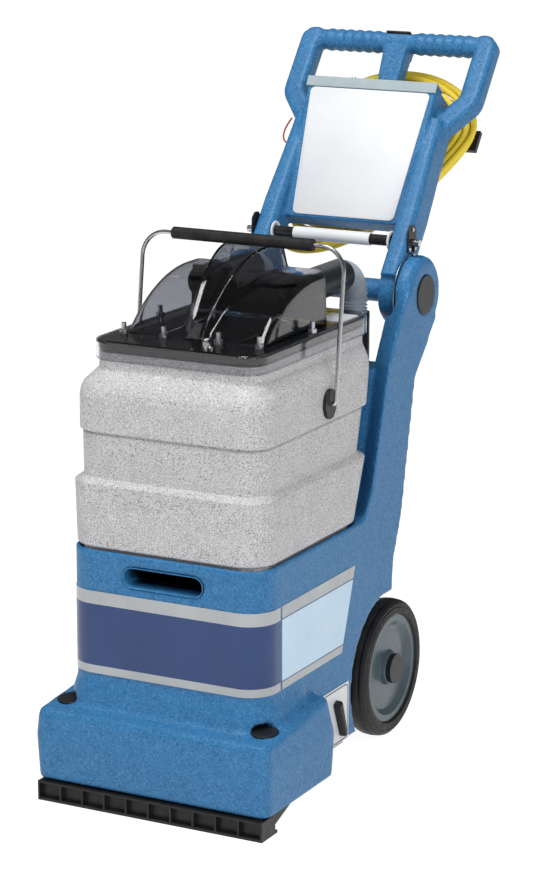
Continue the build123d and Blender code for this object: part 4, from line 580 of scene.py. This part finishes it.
# Rounded rectangles: rows of (z, half width, front, back, corner) give rings of arcs and sides
def roundRings(levels, perCorner, perSide):
    z, half, front, back, corner = (levels[:, column, None] for column in range(5))
    rings = []
    for sideX, sideY, start in ((1, -1, -90), (1, 1, 0), (-1, 1, 90), (-1, -1, 180)):
        angle = np.radians(start + np.linspace(0, 90, perCorner))[None, :]
        centreX = sideX * (half - corner)
        centreY = np.where(sideY < 0, front + corner, back - corner)
        rings.append((centreX + corner * np.cos(angle), centreY + corner * np.sin(angle)))
    xs, ys = [], []
    for index, (arcX, arcY) in enumerate(rings):
        nextX, nextY = rings[(index + 1) % 4]
        share = np.linspace(0, 1, perSide + 2)[None, 1:-1]
        xs += [arcX, arcX[:, -1:] + (nextX[:, :1] - arcX[:, -1:]) * share]
        ys += [arcY, arcY[:, -1:] + (nextY[:, :1] - arcY[:, -1:]) * share]
    x, y = np.concatenate(xs, axis=1), np.concatenate(ys, axis=1)
    return np.stack([x, y, np.broadcast_to(z, x.shape)], axis=-1) * mm


# A profile sampled evenly along its run, its corners rounded by a moving mean of the given reach
# (a hair on each step keeps the run rising)
def smoothProfile(levels, spacing, reach):
    levels = np.asarray(levels, float)
    run = np.r_[0, np.cumsum(np.linalg.norm(np.diff(levels[:, :2], axis=0), axis=1) + 1e-6)]
    even = np.arange(0, run[-1], spacing)
    dense = np.stack([np.interp(even, run, column) for column in levels.T], axis=-1)
    size = max(1, int(round(reach / spacing)))
    weight = np.hanning(2 * size + 1)
    weight /= weight.sum()
    padded = np.pad(dense, ((size, size), (0, 0)), mode="edge")
    return np.stack([np.convolve(column, weight, "valid") for column in padded.T], axis=-1)


# Recovery tank: stepped outside, open neck, inside wall and the ring it stands on
tankSpec = {
    "outside": [
        (359.4, 141, -342.5, -59.5, 36), (359.4, 148.4, -350, -48.5, 40),
        (362, 150.3, -351.8, -46.5, 40), (372, 150.6, -352, -43.5, 40),
        (448, 152, -353.5, -16.5, 40), (455, 143, -344.5, -24.5, 40),
        (515, 143.3, -345, -9.5, 40), (515.6, 141.2, -343, -9.0, 40),
        (518, 141.2, -343, -7.0, 40), (519.4, 146.4, -348, -1.5, 40),
        (566, 146.2, -347.7, 6.5, 40), (575, 145.0, -346.0, 9.0, 40),
        (583, 142.2, -341.5, 11.0, 38), (600, 127.2, -322, 17.0, 31),
        (604, 126.3, -321, 18.0, 30), (624.8, 126, -320.7, 20.0, 30),
    ],
    "foot": [
        (362, 20, -222, -190, 12), (362, 131, -332.5, -69.5, 19), (346.2, 131, -332.5, -69.5, 19),
        (346.2, 141, -342.5, -59.5, 29), (358.8, 141, -342.5, -59.5, 29),
    ],
    "floorMiddle": (20, -222, -190, 12), "floorFrom": 364,
    "wall": 4.0, "wallShift": (0, -1, 1, -1, -0.6), "insideStep": 3,
    "spacing": 0.9, "round": 1.7, "perCorner": 14, "perSide": 22,
}
outside = smoothProfile(tankSpec["outside"], tankSpec["spacing"], tankSpec["round"])
wallShift = np.array(tankSpec["wallShift"]) * tankSpec["wall"]
inside = (outside[::-1] + wallShift)[::tankSpec["insideStep"]]
inside = inside[inside[:, 0] > tankSpec["floorFrom"]]
floorEnd = np.array([[inside[-1, 0], *tankSpec["floorMiddle"]]])
tankLevels = np.concatenate([np.array(tankSpec["foot"], float), outside, inside, floorEnd])
tankRings = roundRings(tankLevels, tankSpec["perCorner"], tankSpec["perSide"])
tankMesh = gridMesh("tank_moulding", tankRings, True, True, True)
addPiece("tank_moulding", tankMesh, "grey_tank", "tank", ["recovery_tank"])
print("stage: tank", len(tankMesh.polygons), "faces")

# Cover: a flange with a skirt over the plate, and a blown sheet with two lobes and a middle channel
skirtSpec = {
    "levels": [
        (613, 127.4, -321.4, 21.9, 30.4), (613, 130.5, -324.5, 25, 33.5),
        (638.5, 130.5, -324.5, 25, 33.5), (640, 129, -323, 23.5, 32),
        (640, 60, -252, -83, 20), (637.2, 60, -252, -83, 20),
        (637.2, 127.4, -321.4, 21.9, 30.4), (613, 127.4, -321.4, 21.9, 30.4),
    ],
    "spacing": 2.0, "round": 2.0, "perCorner": 12, "perSide": 10,
}
skirtLevels = smoothProfile(skirtSpec["levels"], skirtSpec["spacing"], skirtSpec["round"])
skirtRings = roundRings(skirtLevels, skirtSpec["perCorner"], skirtSpec["perSide"])
skirtMesh = gridMesh("cover_flange", skirtRings, True)
addPiece("cover_flange", skirtMesh, "clear_skirt", "tank", [])
domeSpec = {
    "low": 639.5, "front": -261.5, "back": -78.5, "backRun": 2.0, "draft": 2.0, "wall": 0.0026,
    "lobeHalf": 105.0, "lobeTop": 715.0, "lobeRise": 160.0,
    "spineFront": -263.5, "spineTop": 747.0, "spineRise": 152.0, "spinePower": 1.85,
    "footHalf": 16.0, "backHalf": 44.0, "flank": 10.0,
    "ridge": 2.2, "ridgeIn": 6.0, "ridgeWide": 3.2, "ridgeFade": 12.0,
    "rows": 130, "backRows": 14, "columns": 241, "round": 16, "roundAlong": 2,
}
domeY = np.linspace(domeSpec["spineFront"], domeSpec["back"], domeSpec["rows"])
# Height over the flange along y: a circle's arc that ends level for the lobes,
# a powered quarter circle for the channel
lobeHigh = domeSpec["lobeTop"] - domeSpec["low"]
lobeRadius = (domeSpec["lobeRise"] ** 2 + lobeHigh**2) / (2 * lobeHigh)
lobeLeft = domeSpec["lobeRise"] - np.clip(domeY - domeSpec["front"], 0, domeSpec["lobeRise"])
lobeHeight = np.maximum(0, np.sqrt(lobeRadius**2 - lobeLeft**2) - lobeRadius + lobeHigh)
spineShare = np.clip((domeY - domeSpec["spineFront"]) / domeSpec["spineRise"], 0, 1)
spineShare = np.sqrt(1 - (1 - spineShare) ** 2) ** domeSpec["spinePower"]
spineHeight = np.maximum((domeSpec["spineTop"] - domeSpec["low"]) * spineShare, lobeHeight)
backRows = np.linspace(0, 1, domeSpec["backRows"])[1:]
domeY = np.r_[domeY, domeSpec["back"] + domeSpec["backRun"] * backRows]
lobeHeight = np.r_[lobeHeight, lobeHeight[-1] * (1 - backRows)]
spineHeight = np.r_[spineHeight, spineHeight[-1] * (1 - backRows)]
spineRun = domeSpec["back"] - domeSpec["spineFront"]
wide = np.clip((domeY - domeSpec["spineFront"]) / spineRun, 0, 1)
spineHalf = domeSpec["footHalf"] + (domeSpec["backHalf"] - domeSpec["footHalf"]) * wide
sections = []
for height in lobeHeight:
    corners = np.array([
        (-domeSpec["lobeHalf"] - domeSpec["draft"], 0), (-domeSpec["lobeHalf"], height),
        (domeSpec["lobeHalf"], height), (domeSpec["lobeHalf"] + domeSpec["draft"], 0),
    ])
    run = np.r_[0, np.cumsum(np.linalg.norm(np.diff(corners, axis=0), axis=1))]
    even = np.linspace(0, run[-1], domeSpec["columns"])
    sections.append(np.stack([np.interp(even, run, column) for column in corners.T], axis=-1))
sections = np.array(sections)


# A moving mean along one axis, its ends held
def eased(values, axis, size):
    weight = np.hanning(2 * size + 3)[1:-1]
    weight /= weight.sum()
    pad = [(0, 0)] * values.ndim
    pad[axis] = (size, size)
    spread = np.pad(values, pad, mode="edge")
    length = values.shape[axis]
    return sum(w * np.take(spread, np.arange(k, k + length), axis=axis) for k, w in enumerate(weight))


sections = eased(sections, 1, domeSpec["round"])
# The channel stands on the lobes: a smooth step in |x|, with a small ridge along each of its edges
offSide = np.abs(sections[:, :, 0])
stepShare = np.clip((spineHalf[:, None] + domeSpec["flank"] / 2 - offSide) / domeSpec["flank"], 0, 1)
stepShare = stepShare**2 * (3 - 2 * stepShare)
rise = (spineHeight - lobeHeight)[:, None]
ridgeOff = (offSide - spineHalf[:, None] + domeSpec["ridgeIn"]) / domeSpec["ridgeWide"]
ridgeShare = np.clip(rise / domeSpec["ridgeFade"], 0, 1)
ridge = domeSpec["ridge"] * np.exp(-(ridgeOff**2)) * ridgeShare
sections[:, :, 1] += rise * stepShare + ridge - domeSpec["ridge"] * ridgeShare * stepShare
sections = eased(sections, 0, domeSpec["roundAlong"])
domeRows = np.repeat(domeY[:, None], domeSpec["columns"], axis=1)
domePoints = np.stack([sections[:, :, 0], domeRows, domeSpec["low"] + sections[:, :, 1]], axis=-1) * mm
domeMesh = gridMesh("cover_dome", domePoints, False)
domePiece = addPiece("cover_dome", domeMesh, "clear_smoke", "tank", ["dome"])
thicken(domePiece, domeSpec["wall"], -1.0)
print("stage: cover")


# Tubes: circles of varying radius along a middle line with its own side directions
def tubePoints(middle, sideA, sideB, radius, around):
    angle = fullTurn(around)[None, :, None]
    ring = sideA[:, None, :] * np.cos(angle) + sideB[:, None, :] * np.sin(angle)
    return middle[:, None, :] + radius[:, None, None] * ring


# Suction hoses: straight back, a quarter turn and down, radius = root + rib * max(0, sin)^power
hoseSpec = {
    "x": 72.0, "z": 686.0, "start": -6.5, "turn": 36.5, "bend": 40.0, "end": 600.0, "root": 17.4,
    "rib": 3.1, "ribPower": 0.6, "pitch": 5.2, "perRib": 8, "around": 40,
}
straight = hoseSpec["turn"] - hoseSpec["start"]
bendRun = hoseSpec["bend"] * math.pi / 2
drop = hoseSpec["z"] - hoseSpec["bend"] - hoseSpec["end"]
hoseRun = straight + bendRun + drop
along = np.linspace(0, hoseRun, int(hoseRun / hoseSpec["pitch"] * hoseSpec["perRib"]))
bendTurn = np.clip((along - straight) / hoseSpec["bend"], 0, math.pi / 2)
hoseY = hoseSpec["start"] + np.minimum(along, straight) + hoseSpec["bend"] * np.sin(bendTurn)
hoseDrop = np.maximum(along - straight - bendRun, 0)
hoseZ = hoseSpec["z"] - hoseSpec["bend"] * (1 - np.cos(bendTurn)) - hoseDrop
hoseWave = np.maximum(0, np.sin(2 * math.pi * along / hoseSpec["pitch"])) ** hoseSpec["ribPower"]
hoseRadius = hoseSpec["root"] + hoseSpec["rib"] * hoseWave
hoseSide = np.tile([1.0, 0, 0], (len(along), 1))
hoseUp = np.stack([np.zeros_like(along), np.sin(bendTurn), np.cos(bendTurn)], axis=-1)
for hand, side in hands:
    middle = np.stack([np.full_like(along, hand * hoseSpec["x"]), hoseY, hoseZ], axis=-1) * mm
    hosePoints = tubePoints(middle, hoseUp, hoseSide, hoseRadius * mm, hoseSpec["around"])
    hoseMesh = gridMesh("hose_" + side, hosePoints, True, True, True)
    addPiece("hose_" + side, hoseMesh, "hose_grey", "tank", ["suction_hoses"])
print("stage: hoses")

# Bristles: tufts in rows that wind slightly round the drum, each a flared square bundle
brushSpec = {
    "y": -280.5, "z": 53.0, "drum": 29.5, "reach": 49.0, "half": 120.0, "first": 5, "last": 4,
    "rows": 14, "pitch": 9.0, "wind": 0.008, "foot": 2.4, "tip": 4.2,
}
brushEnds = -brushSpec["half"] + brushSpec["first"], brushSpec["half"] - brushSpec["last"]
tuftX = np.arange(*brushEnds, brushSpec["pitch"])
tuftTurn = np.arange(brushSpec["rows"]) * 2 * math.pi / brushSpec["rows"]
gridX, gridTurn = np.meshgrid(tuftX, tuftTurn)
gridTurn = gridTurn + gridX * brushSpec["wind"]
gridX, gridTurn = gridX.ravel(), gridTurn.ravel()
outward = np.stack([np.zeros_like(gridTurn), np.cos(gridTurn), np.sin(gridTurn)], axis=-1)
sideways = np.stack([np.zeros_like(gridTurn), -np.sin(gridTurn), np.cos(gridTurn)], axis=-1)
axisX = np.array([1.0, 0, 0])
brushAxis = [np.full_like(gridX, brushSpec["y"]), np.full_like(gridX, brushSpec["z"])]
place = np.stack([gridX, *brushAxis], axis=-1)
ringPoints = []
for radius, half in ((brushSpec["drum"], brushSpec["foot"]), (brushSpec["reach"], brushSpec["tip"])):
    for cornerX, cornerS in ((1, 1), (-1, 1), (-1, -1), (1, -1)):
        ringPoints.append(place + outward * radius + axisX * cornerX * half + sideways * cornerS * half)
tuftPoints = np.stack(ringPoints, axis=1) * mm
tuftFaces = np.array([
    (0, 1, 5, 4), (1, 2, 6, 5), (2, 3, 7, 6), (3, 0, 4, 7), (4, 5, 6, 7), (3, 2, 1, 0),
])
allFaces = (np.arange(len(gridX))[:, None, None] * len(ringPoints) + tuftFaces[None]).reshape(-1, 4)
tuftMesh = bpy.data.meshes.new("brush_tufts")
tuftMesh.from_pydata(tuftPoints.reshape(-1, 3).tolist(), [], allFaces.tolist())
tuftMesh.update()
addPiece("brush_tufts", tuftMesh, "bristle", "brush", ["brush_bristles"])
print("stage: brush with", len(gridX), "tufts")


# Turned pieces: a closed profile of (x, radius) carried round an axis along x
def turnedMesh(name, profile, centreY, centreZ, around):
    profile = np.array(profile + profile[:1], float)
    angle = fullTurn(around)[None, :]
    x = np.broadcast_to(profile[:, :1], (len(profile), around))
    y = centreY + profile[:, 1:] * np.cos(angle)
    z = centreZ + profile[:, 1:] * np.sin(angle)
    return gridMesh(name, np.stack([x, y, z], axis=-1) * mm, True)


# Tyres: crowned tread with a groove near each shoulder and two rings in the side wall
tyreSpec = {
    "x": 125.0, "y": 72.5, "z": 101.6, "around": 128,
    "half": [
        (0, 101.6), (8.4, 100.9), (8.8, 99.7), (9.6, 99.7), (10.0, 100.6), (13.2, 99.4),
        (15.6, 97.0), (17.2, 93.8), (17.3, 92.2), (16.7, 91.6), (16.7, 90.8), (17.6, 90.2),
        (18.0, 87.2), (17.5, 86.4), (17.5, 85.6), (18.0, 84.8), (18.0, 80.4), (12.0, 80.2),
    ],
}
tyreProfile = tyreSpec["half"] + [(-x, radius) for x, radius in tyreSpec["half"][:0:-1]]
for hand, side in hands:
    shifted = [(hand * tyreSpec["x"] - x, radius) for x, radius in tyreProfile]
    tyreMesh = turnedMesh("tyre_" + side, shifted, tyreSpec["y"], tyreSpec["z"], tyreSpec["around"])
    addPiece("tyre_" + side, tyreMesh, "tyre_rubber", side + "_wheel", [side + "_tyre"])

# Washers that seat on the lock rod beside the arms
washerSpec = {
    "along": 60.0, "out": 42.0, "around": 48,
    "profile": [(93.2, 8.3), (93.2, 14.2), (93.7, 14.8), (95.2, 14.8), (95.2, 8.3)],
}
rodAt = handlePoint(0.0, washerSpec["along"], washerSpec["out"]) / mm
for hand, side in hands:
    ringProfile = [(hand * x, radius) for x, radius in washerSpec["profile"]][::hand]
    washerMesh = turnedMesh("rod_washer_" + side, ringProfile, *rodAt[1:], washerSpec["around"])
    addPiece("rod_washer_" + side, washerMesh, "white_plastic", "rod", [])

# Deck caps: shallow domes on the sloping deck, rows of (radius, lift)
capSpec = {
    "x": 151.0, "y": -345.5, "z": 135.5, "rise": 20.5, "run": 209.0, "around": 56,
    "rows": [(19.4, -0.8), (19.4, 0.3), (19.0, 0.8), (17.6, 1.2), (12.0, 1.5), (5.0, 1.6)],
}
capSlope = math.atan2(capSpec["rise"], capSpec["run"])
capAngle = fullTurn(capSpec["around"])[None, :]
capRows = np.array(capSpec["rows"])
capU, capV = capRows[:, :1] * np.cos(capAngle), capRows[:, :1] * np.sin(capAngle)
capLift = np.broadcast_to(capRows[:, 1:], capU.shape)
capY = capSpec["y"] + capV * math.cos(capSlope) - capLift * math.sin(capSlope)
capZ = capSpec["z"] + capV * math.sin(capSlope) + capLift * math.cos(capSlope)
for hand, side in hands:
    capPoints = np.stack([hand * capSpec["x"] + capU, capY, capZ], axis=-1) * mm
    capMesh = gridMesh("deck_cap_" + side, capPoints, True, True, True)
    addPiece("deck_cap_" + side, capMesh, "black_plastic", "base", ["deck_caps"])


# Rounded outlines: each corner a quadratic Bezier over the given run of both sides
def roundedOutline(corners, run, perCorner):
    corners = np.array(corners, float)
    share = np.linspace(0, 1, perCorner)[:, None]
    points = []
    for index, corner in enumerate(corners):
        before, after = corners[index - 1] - corner, corners[(index + 1) % len(corners)] - corner
        start = corner + before / np.linalg.norm(before) * run
        end = corner + after / np.linalg.norm(after) * run
        points.append((1 - share) ** 2 * start + 2 * share * (1 - share) * corner + share**2 * end)
    return np.concatenate(points)


# Sign: a trapezoid plate with rounded corners on the sloping front of the control case
signSpec = {
    "foot": 93.0, "footOut": 31.0, "slopeAlong": 0.98286, "slopeOut": 0.18457,
    "low": 4.0, "high": 202.7, "lowHalf": 82.3, "highHalf": 97.9, "run": 9.0, "perCorner": 9,
    "lifts": [(0.0, 0.4), (0.3, 0.0), (1.1, 0.0), (1.5, 0.5)],
}
signOutline = roundedOutline([
    (-signSpec["lowHalf"], signSpec["low"]), (signSpec["lowHalf"], signSpec["low"]),
    (signSpec["highHalf"], signSpec["high"]), (-signSpec["highHalf"], signSpec["high"]),
], signSpec["run"], signSpec["perCorner"])
signMiddle = signOutline.mean(axis=0)
signRows = []
for lift, inset in signSpec["lifts"]:
    shrunk = signMiddle + (signOutline - signMiddle) * (1 - inset / signSpec["highHalf"])
    signAlong = signSpec["foot"] + shrunk[:, 1] * signSpec["slopeAlong"] - lift * signSpec["slopeOut"]
    signOut = signSpec["footOut"] + shrunk[:, 1] * signSpec["slopeOut"] + lift * signSpec["slopeAlong"]
    signRows.append(handlePoint(shrunk[:, 0], signAlong, signOut))
signMesh = gridMesh("sign_plate", np.array(signRows), True, True, True)
addPiece("sign_plate", signMesh, "white_plastic", "handle", ["sign_panel"])

# Selector border: a thin dark line inside the plate's edge
borderSpec = {
    "x": 153.5, "sunk": 0.1, "front": -176.5, "back": -96.5, "low": 50.0, "high": 134.0,
    "in": 2.0, "wide": 1.6, "lift": 0.2, "run": 9.0, "perCorner": 8,
}
borderRows = []
for inset, lift in ((0, 0), (0, 1), (1, 1), (1, 0), (0, 0)):
    gap = borderSpec["in"] + inset * borderSpec["wide"]
    front, back = borderSpec["front"] + gap, borderSpec["back"] - gap
    low, high = borderSpec["low"] + gap, borderSpec["high"] - gap
    line = roundedOutline(
        [(front, low), (back, low), (back, high), (front, high)],
        borderSpec["run"] - inset * borderSpec["wide"], borderSpec["perCorner"],
    )
    borderX = borderSpec["x"] - borderSpec["sunk"] + lift * borderSpec["lift"]
    borderRows.append(np.c_[np.full(len(line), borderX), line] * mm)
borderMesh = gridMesh("selector_border", np.array(borderRows), True)
addPiece("selector_border", borderMesh, "black_plastic", "base", [])

# Selector lever: a tapered grip over a low dial, rows of (x, share of the outline) closed by a cap
leverSpec = {
    "y": -129.5, "z": 88.0, "lean": 20.0, "upper": 29.0, "lower": -29.0, "upperHalf": 7.0,
    "lowerHalf": 4.5, "run": 4.4, "perCorner": 8, "shrink": 6.0,
    "rows": [(153.9, 1.0), (160.0, 0.97), (162.2, 0.86), (163.4, 0.66), (163.8, 0.40)],
}
leverOutline = roundedOutline([
    (leverSpec["lower"], -leverSpec["lowerHalf"]), (leverSpec["upper"], -leverSpec["upperHalf"]),
    (leverSpec["upper"], leverSpec["upperHalf"]), (leverSpec["lower"], leverSpec["lowerHalf"]),
], leverSpec["run"], leverSpec["perCorner"])[::-1]
leverTurn = math.radians(leverSpec["lean"])
leverRows = []
for x, share in leverSpec["rows"]:
    up = leverOutline[:, 0] - (1 - share) * leverSpec["shrink"] * np.sign(leverOutline[:, 0])
    aside = leverOutline[:, 1] * share
    leverY = leverSpec["y"] - up * math.sin(leverTurn) + aside * math.cos(leverTurn)
    leverZ = leverSpec["z"] + up * math.cos(leverTurn) + aside * math.sin(leverTurn)
    leverRows.append(np.stack([np.full_like(up, x), leverY, leverZ], axis=-1) * mm)
leverMesh = gridMesh("selector_lever", np.array(leverRows), True, True, True)
addPiece("selector_lever", leverMesh, "black_plastic", "selector", ["selector_knob"])

# Pour slot: a lip and lining, rows of (y, offset) from a stadium outline
linerSpec = {
    "half": 61.0, "high": 13.5, "z": 324.0, "around": 72, "wall": 0.0008,
    "rows": [
        (-353.0, 1.6), (-353.6, 1.2), (-353.7, 0.6), (-353.2, 0.0),
        (-351.5, -0.5), (-348.0, -0.7), (-317.0, -0.7),
    ],
}
linerAngle = fullTurn(linerSpec["around"])
linerFlat = np.sign(np.cos(linerAngle)) * (linerSpec["half"] - linerSpec["high"])
linerRows = []
for y, offset in linerSpec["rows"]:
    radius = linerSpec["high"] + offset
    x, z = linerFlat + radius * np.cos(linerAngle), linerSpec["z"] + radius * np.sin(linerAngle)
    linerRows.append(np.stack([x, np.full_like(x, y), z], axis=-1) * mm)
linerMesh = gridMesh("slot_lining", np.array(linerRows), True)
linerPiece = addPiece("slot_lining", linerMesh, "blue_shell", "base", [])
thicken(linerPiece, linerSpec["wall"], -1.0)
print("stage: small pieces")

# CAD pieces that show as they are: edges eased by welding and bevelling, and a finish for each
easeSpec = {"weld": 1e-5, "width": 0.0007, "angle": 35.0, "segments": 2}
nodeLooks = {
    "black_plastic": [
        "base_pan", "vac_shoe", "brush_bearings", "brush_pulley", "motor_pulley", "solution_tank",
        "hose_spigots", "axle_caps", "rear_cover", "latch_plates", "cord_hooks", "vac_switch",
        "brush_switch", "spray_paddle", "cord_gland", "mains_plug", "bail_ears", "lid_plate",
        "float_cage", "hose_cuffs", "pivot_caps",
    ],
    "blue_shell": ["pivot_tube"],
    "rod_black": ["lock_rod"],
    "white_plastic": ["selector_plate", "rod_sleeve", "lid_label"],
    "grey_hub": ["left_hub", "right_hub"],
    "black_rubber": ["drive_belt", "bail_grip", "lid_gasket"],
    "steel": [
        "axle", "pivot_shaft", "bail_wire", "brush_core", "spray_bar", "cover_screws",
        "latch_screws", "friction_washers", "lid_studs",
    ],
    "chrome": ["strip_knob"],
    "strip_aluminium": ["top_strip"],
    "front_film": ["front_label"],
    "side_film": ["side_labels"],
    "motor_paint": ["brush_motor", "pump", "vac_motor"],
}
wideEase = {"vac_shoe": 0.0009, "mains_plug": 0.002}
noEase = {"front_label", "side_labels", "lid_label", "selector_plate"}
for look, names in nodeLooks.items():
    for name in names:
        node = nodes[name]
        node.data.materials.clear()
        node.data.materials.append(looks[look])
        if name in noEase:
            continue
        weld = node.modifiers.new("weld", "WELD")
        weld.merge_threshold = easeSpec["weld"]
        bevel = node.modifiers.new("ease", "BEVEL")
        bevel.width = wideEase.get(name, easeSpec["width"])
        bevel.segments = easeSpec["segments"]
        bevel.limit_method = "ANGLE"
        bevel.angle_limit = math.radians(easeSpec["angle"])
        normals = node.modifiers.new("normals", "WEIGHTED_NORMAL")
        normals.keep_sharp = False
print("stage: finishes")

# Floor and soft studio light
floorSpec = {
    "half": 30.0, "z": -0.0002, "colour": (0.86, 0.86, 0.86), "glow": 1.25, "glowShare": 0.75,
}
floorCorners = np.array([[(-1, -1, 0), (1, -1, 0)], [(-1, 1, 0), (1, 1, 0)]], float)
floorMesh = gridMesh("floor", floorCorners * floorSpec["half"], False)
floorPiece = bpy.data.objects.new("floor", floorMesh)
scene.collection.objects.link(floorPiece)
floorPiece.location.z = floorSpec["z"]
floorLook = bpy.data.materials.new("floor")
floorLook.use_nodes = True
tree = floorLook.node_tree
tree.nodes.clear()
output = tree.nodes.new("ShaderNodeOutputMaterial")
diffuse = tree.nodes.new("ShaderNodeBsdfDiffuse")
diffuse.inputs["Color"].default_value = (*floorSpec["colour"], 1.0)
glow = tree.nodes.new("ShaderNodeEmission")
glow.inputs["Strength"].default_value = floorSpec["glow"]
rays = tree.nodes.new("ShaderNodeLightPath")
seen = rays.outputs["Is Camera Ray"]
for other in ("Is Glossy Ray", "Is Transmission Ray"):
    seen = mathNode(tree, "MAXIMUM", seen, rays.outputs[other])
glowShare = mathNode(tree, "MULTIPLY", seen, floorSpec["glowShare"])
blend = tree.nodes.new("ShaderNodeMixShader")
tree.links.new(glowShare, blend.inputs["Fac"])
tree.links.new(diffuse.outputs["BSDF"], blend.inputs[1])
tree.links.new(glow.outputs["Emission"], blend.inputs[2])
tree.links.new(blend.outputs["Shader"], output.inputs["Surface"])
floorMesh.materials.append(floorLook)

lightSpecs = {
    "key": {"at": (-1.6, -3.0, 3.2), "size": 2.2, "power": 38.0, "mirrored": False},
    "fill": {"at": (3.2, -2.2, 2.2), "size": 2.6, "power": 68.0, "mirrored": False},
    "top": {"at": (-0.2, -1.0, 3.7), "size": 1.4, "power": 66.0, "mirrored": True},
}
aim = np.array([0.0, 0.0, 0.45])
for lightName, spec in lightSpecs.items():
    lightData = bpy.data.lights.new(lightName, "AREA")
    lightData.size = spec["size"]
    lightData.energy = spec["power"]
    lightObject = bpy.data.objects.new(lightName, lightData)
    lightObject.location = spec["at"]
    away = np.array(spec["at"]) - aim
    tilt = math.atan2(math.hypot(away[0], away[1]), away[2])
    lightObject.rotation_euler = (tilt, 0, math.atan2(away[1], away[0]) + math.pi / 2)
    lightObject.visible_glossy = spec["mirrored"]
    scene.collection.objects.link(lightObject)
worldSpec = {"level": 0.43, "mirrored": 0.10}
world = bpy.data.worlds.new("studio")
world.use_nodes = True
scene.world = world
worldTree = world.node_tree
background = worldTree.nodes["Background"]
background.inputs["Color"].default_value = (1.0, 1.0, 1.0, 1.0)
worldRays = worldTree.nodes.new("ShaderNodeLightPath")
worldLevel = rangeNode(
    worldTree, worldRays.outputs["Is Glossy Ray"], 0.0, 1.0, worldSpec["level"], worldSpec["mirrored"]
)
worldTree.links.new(worldLevel, background.inputs["Strength"])
scene.view_settings.view_transform = "Standard"
print("stage: light")
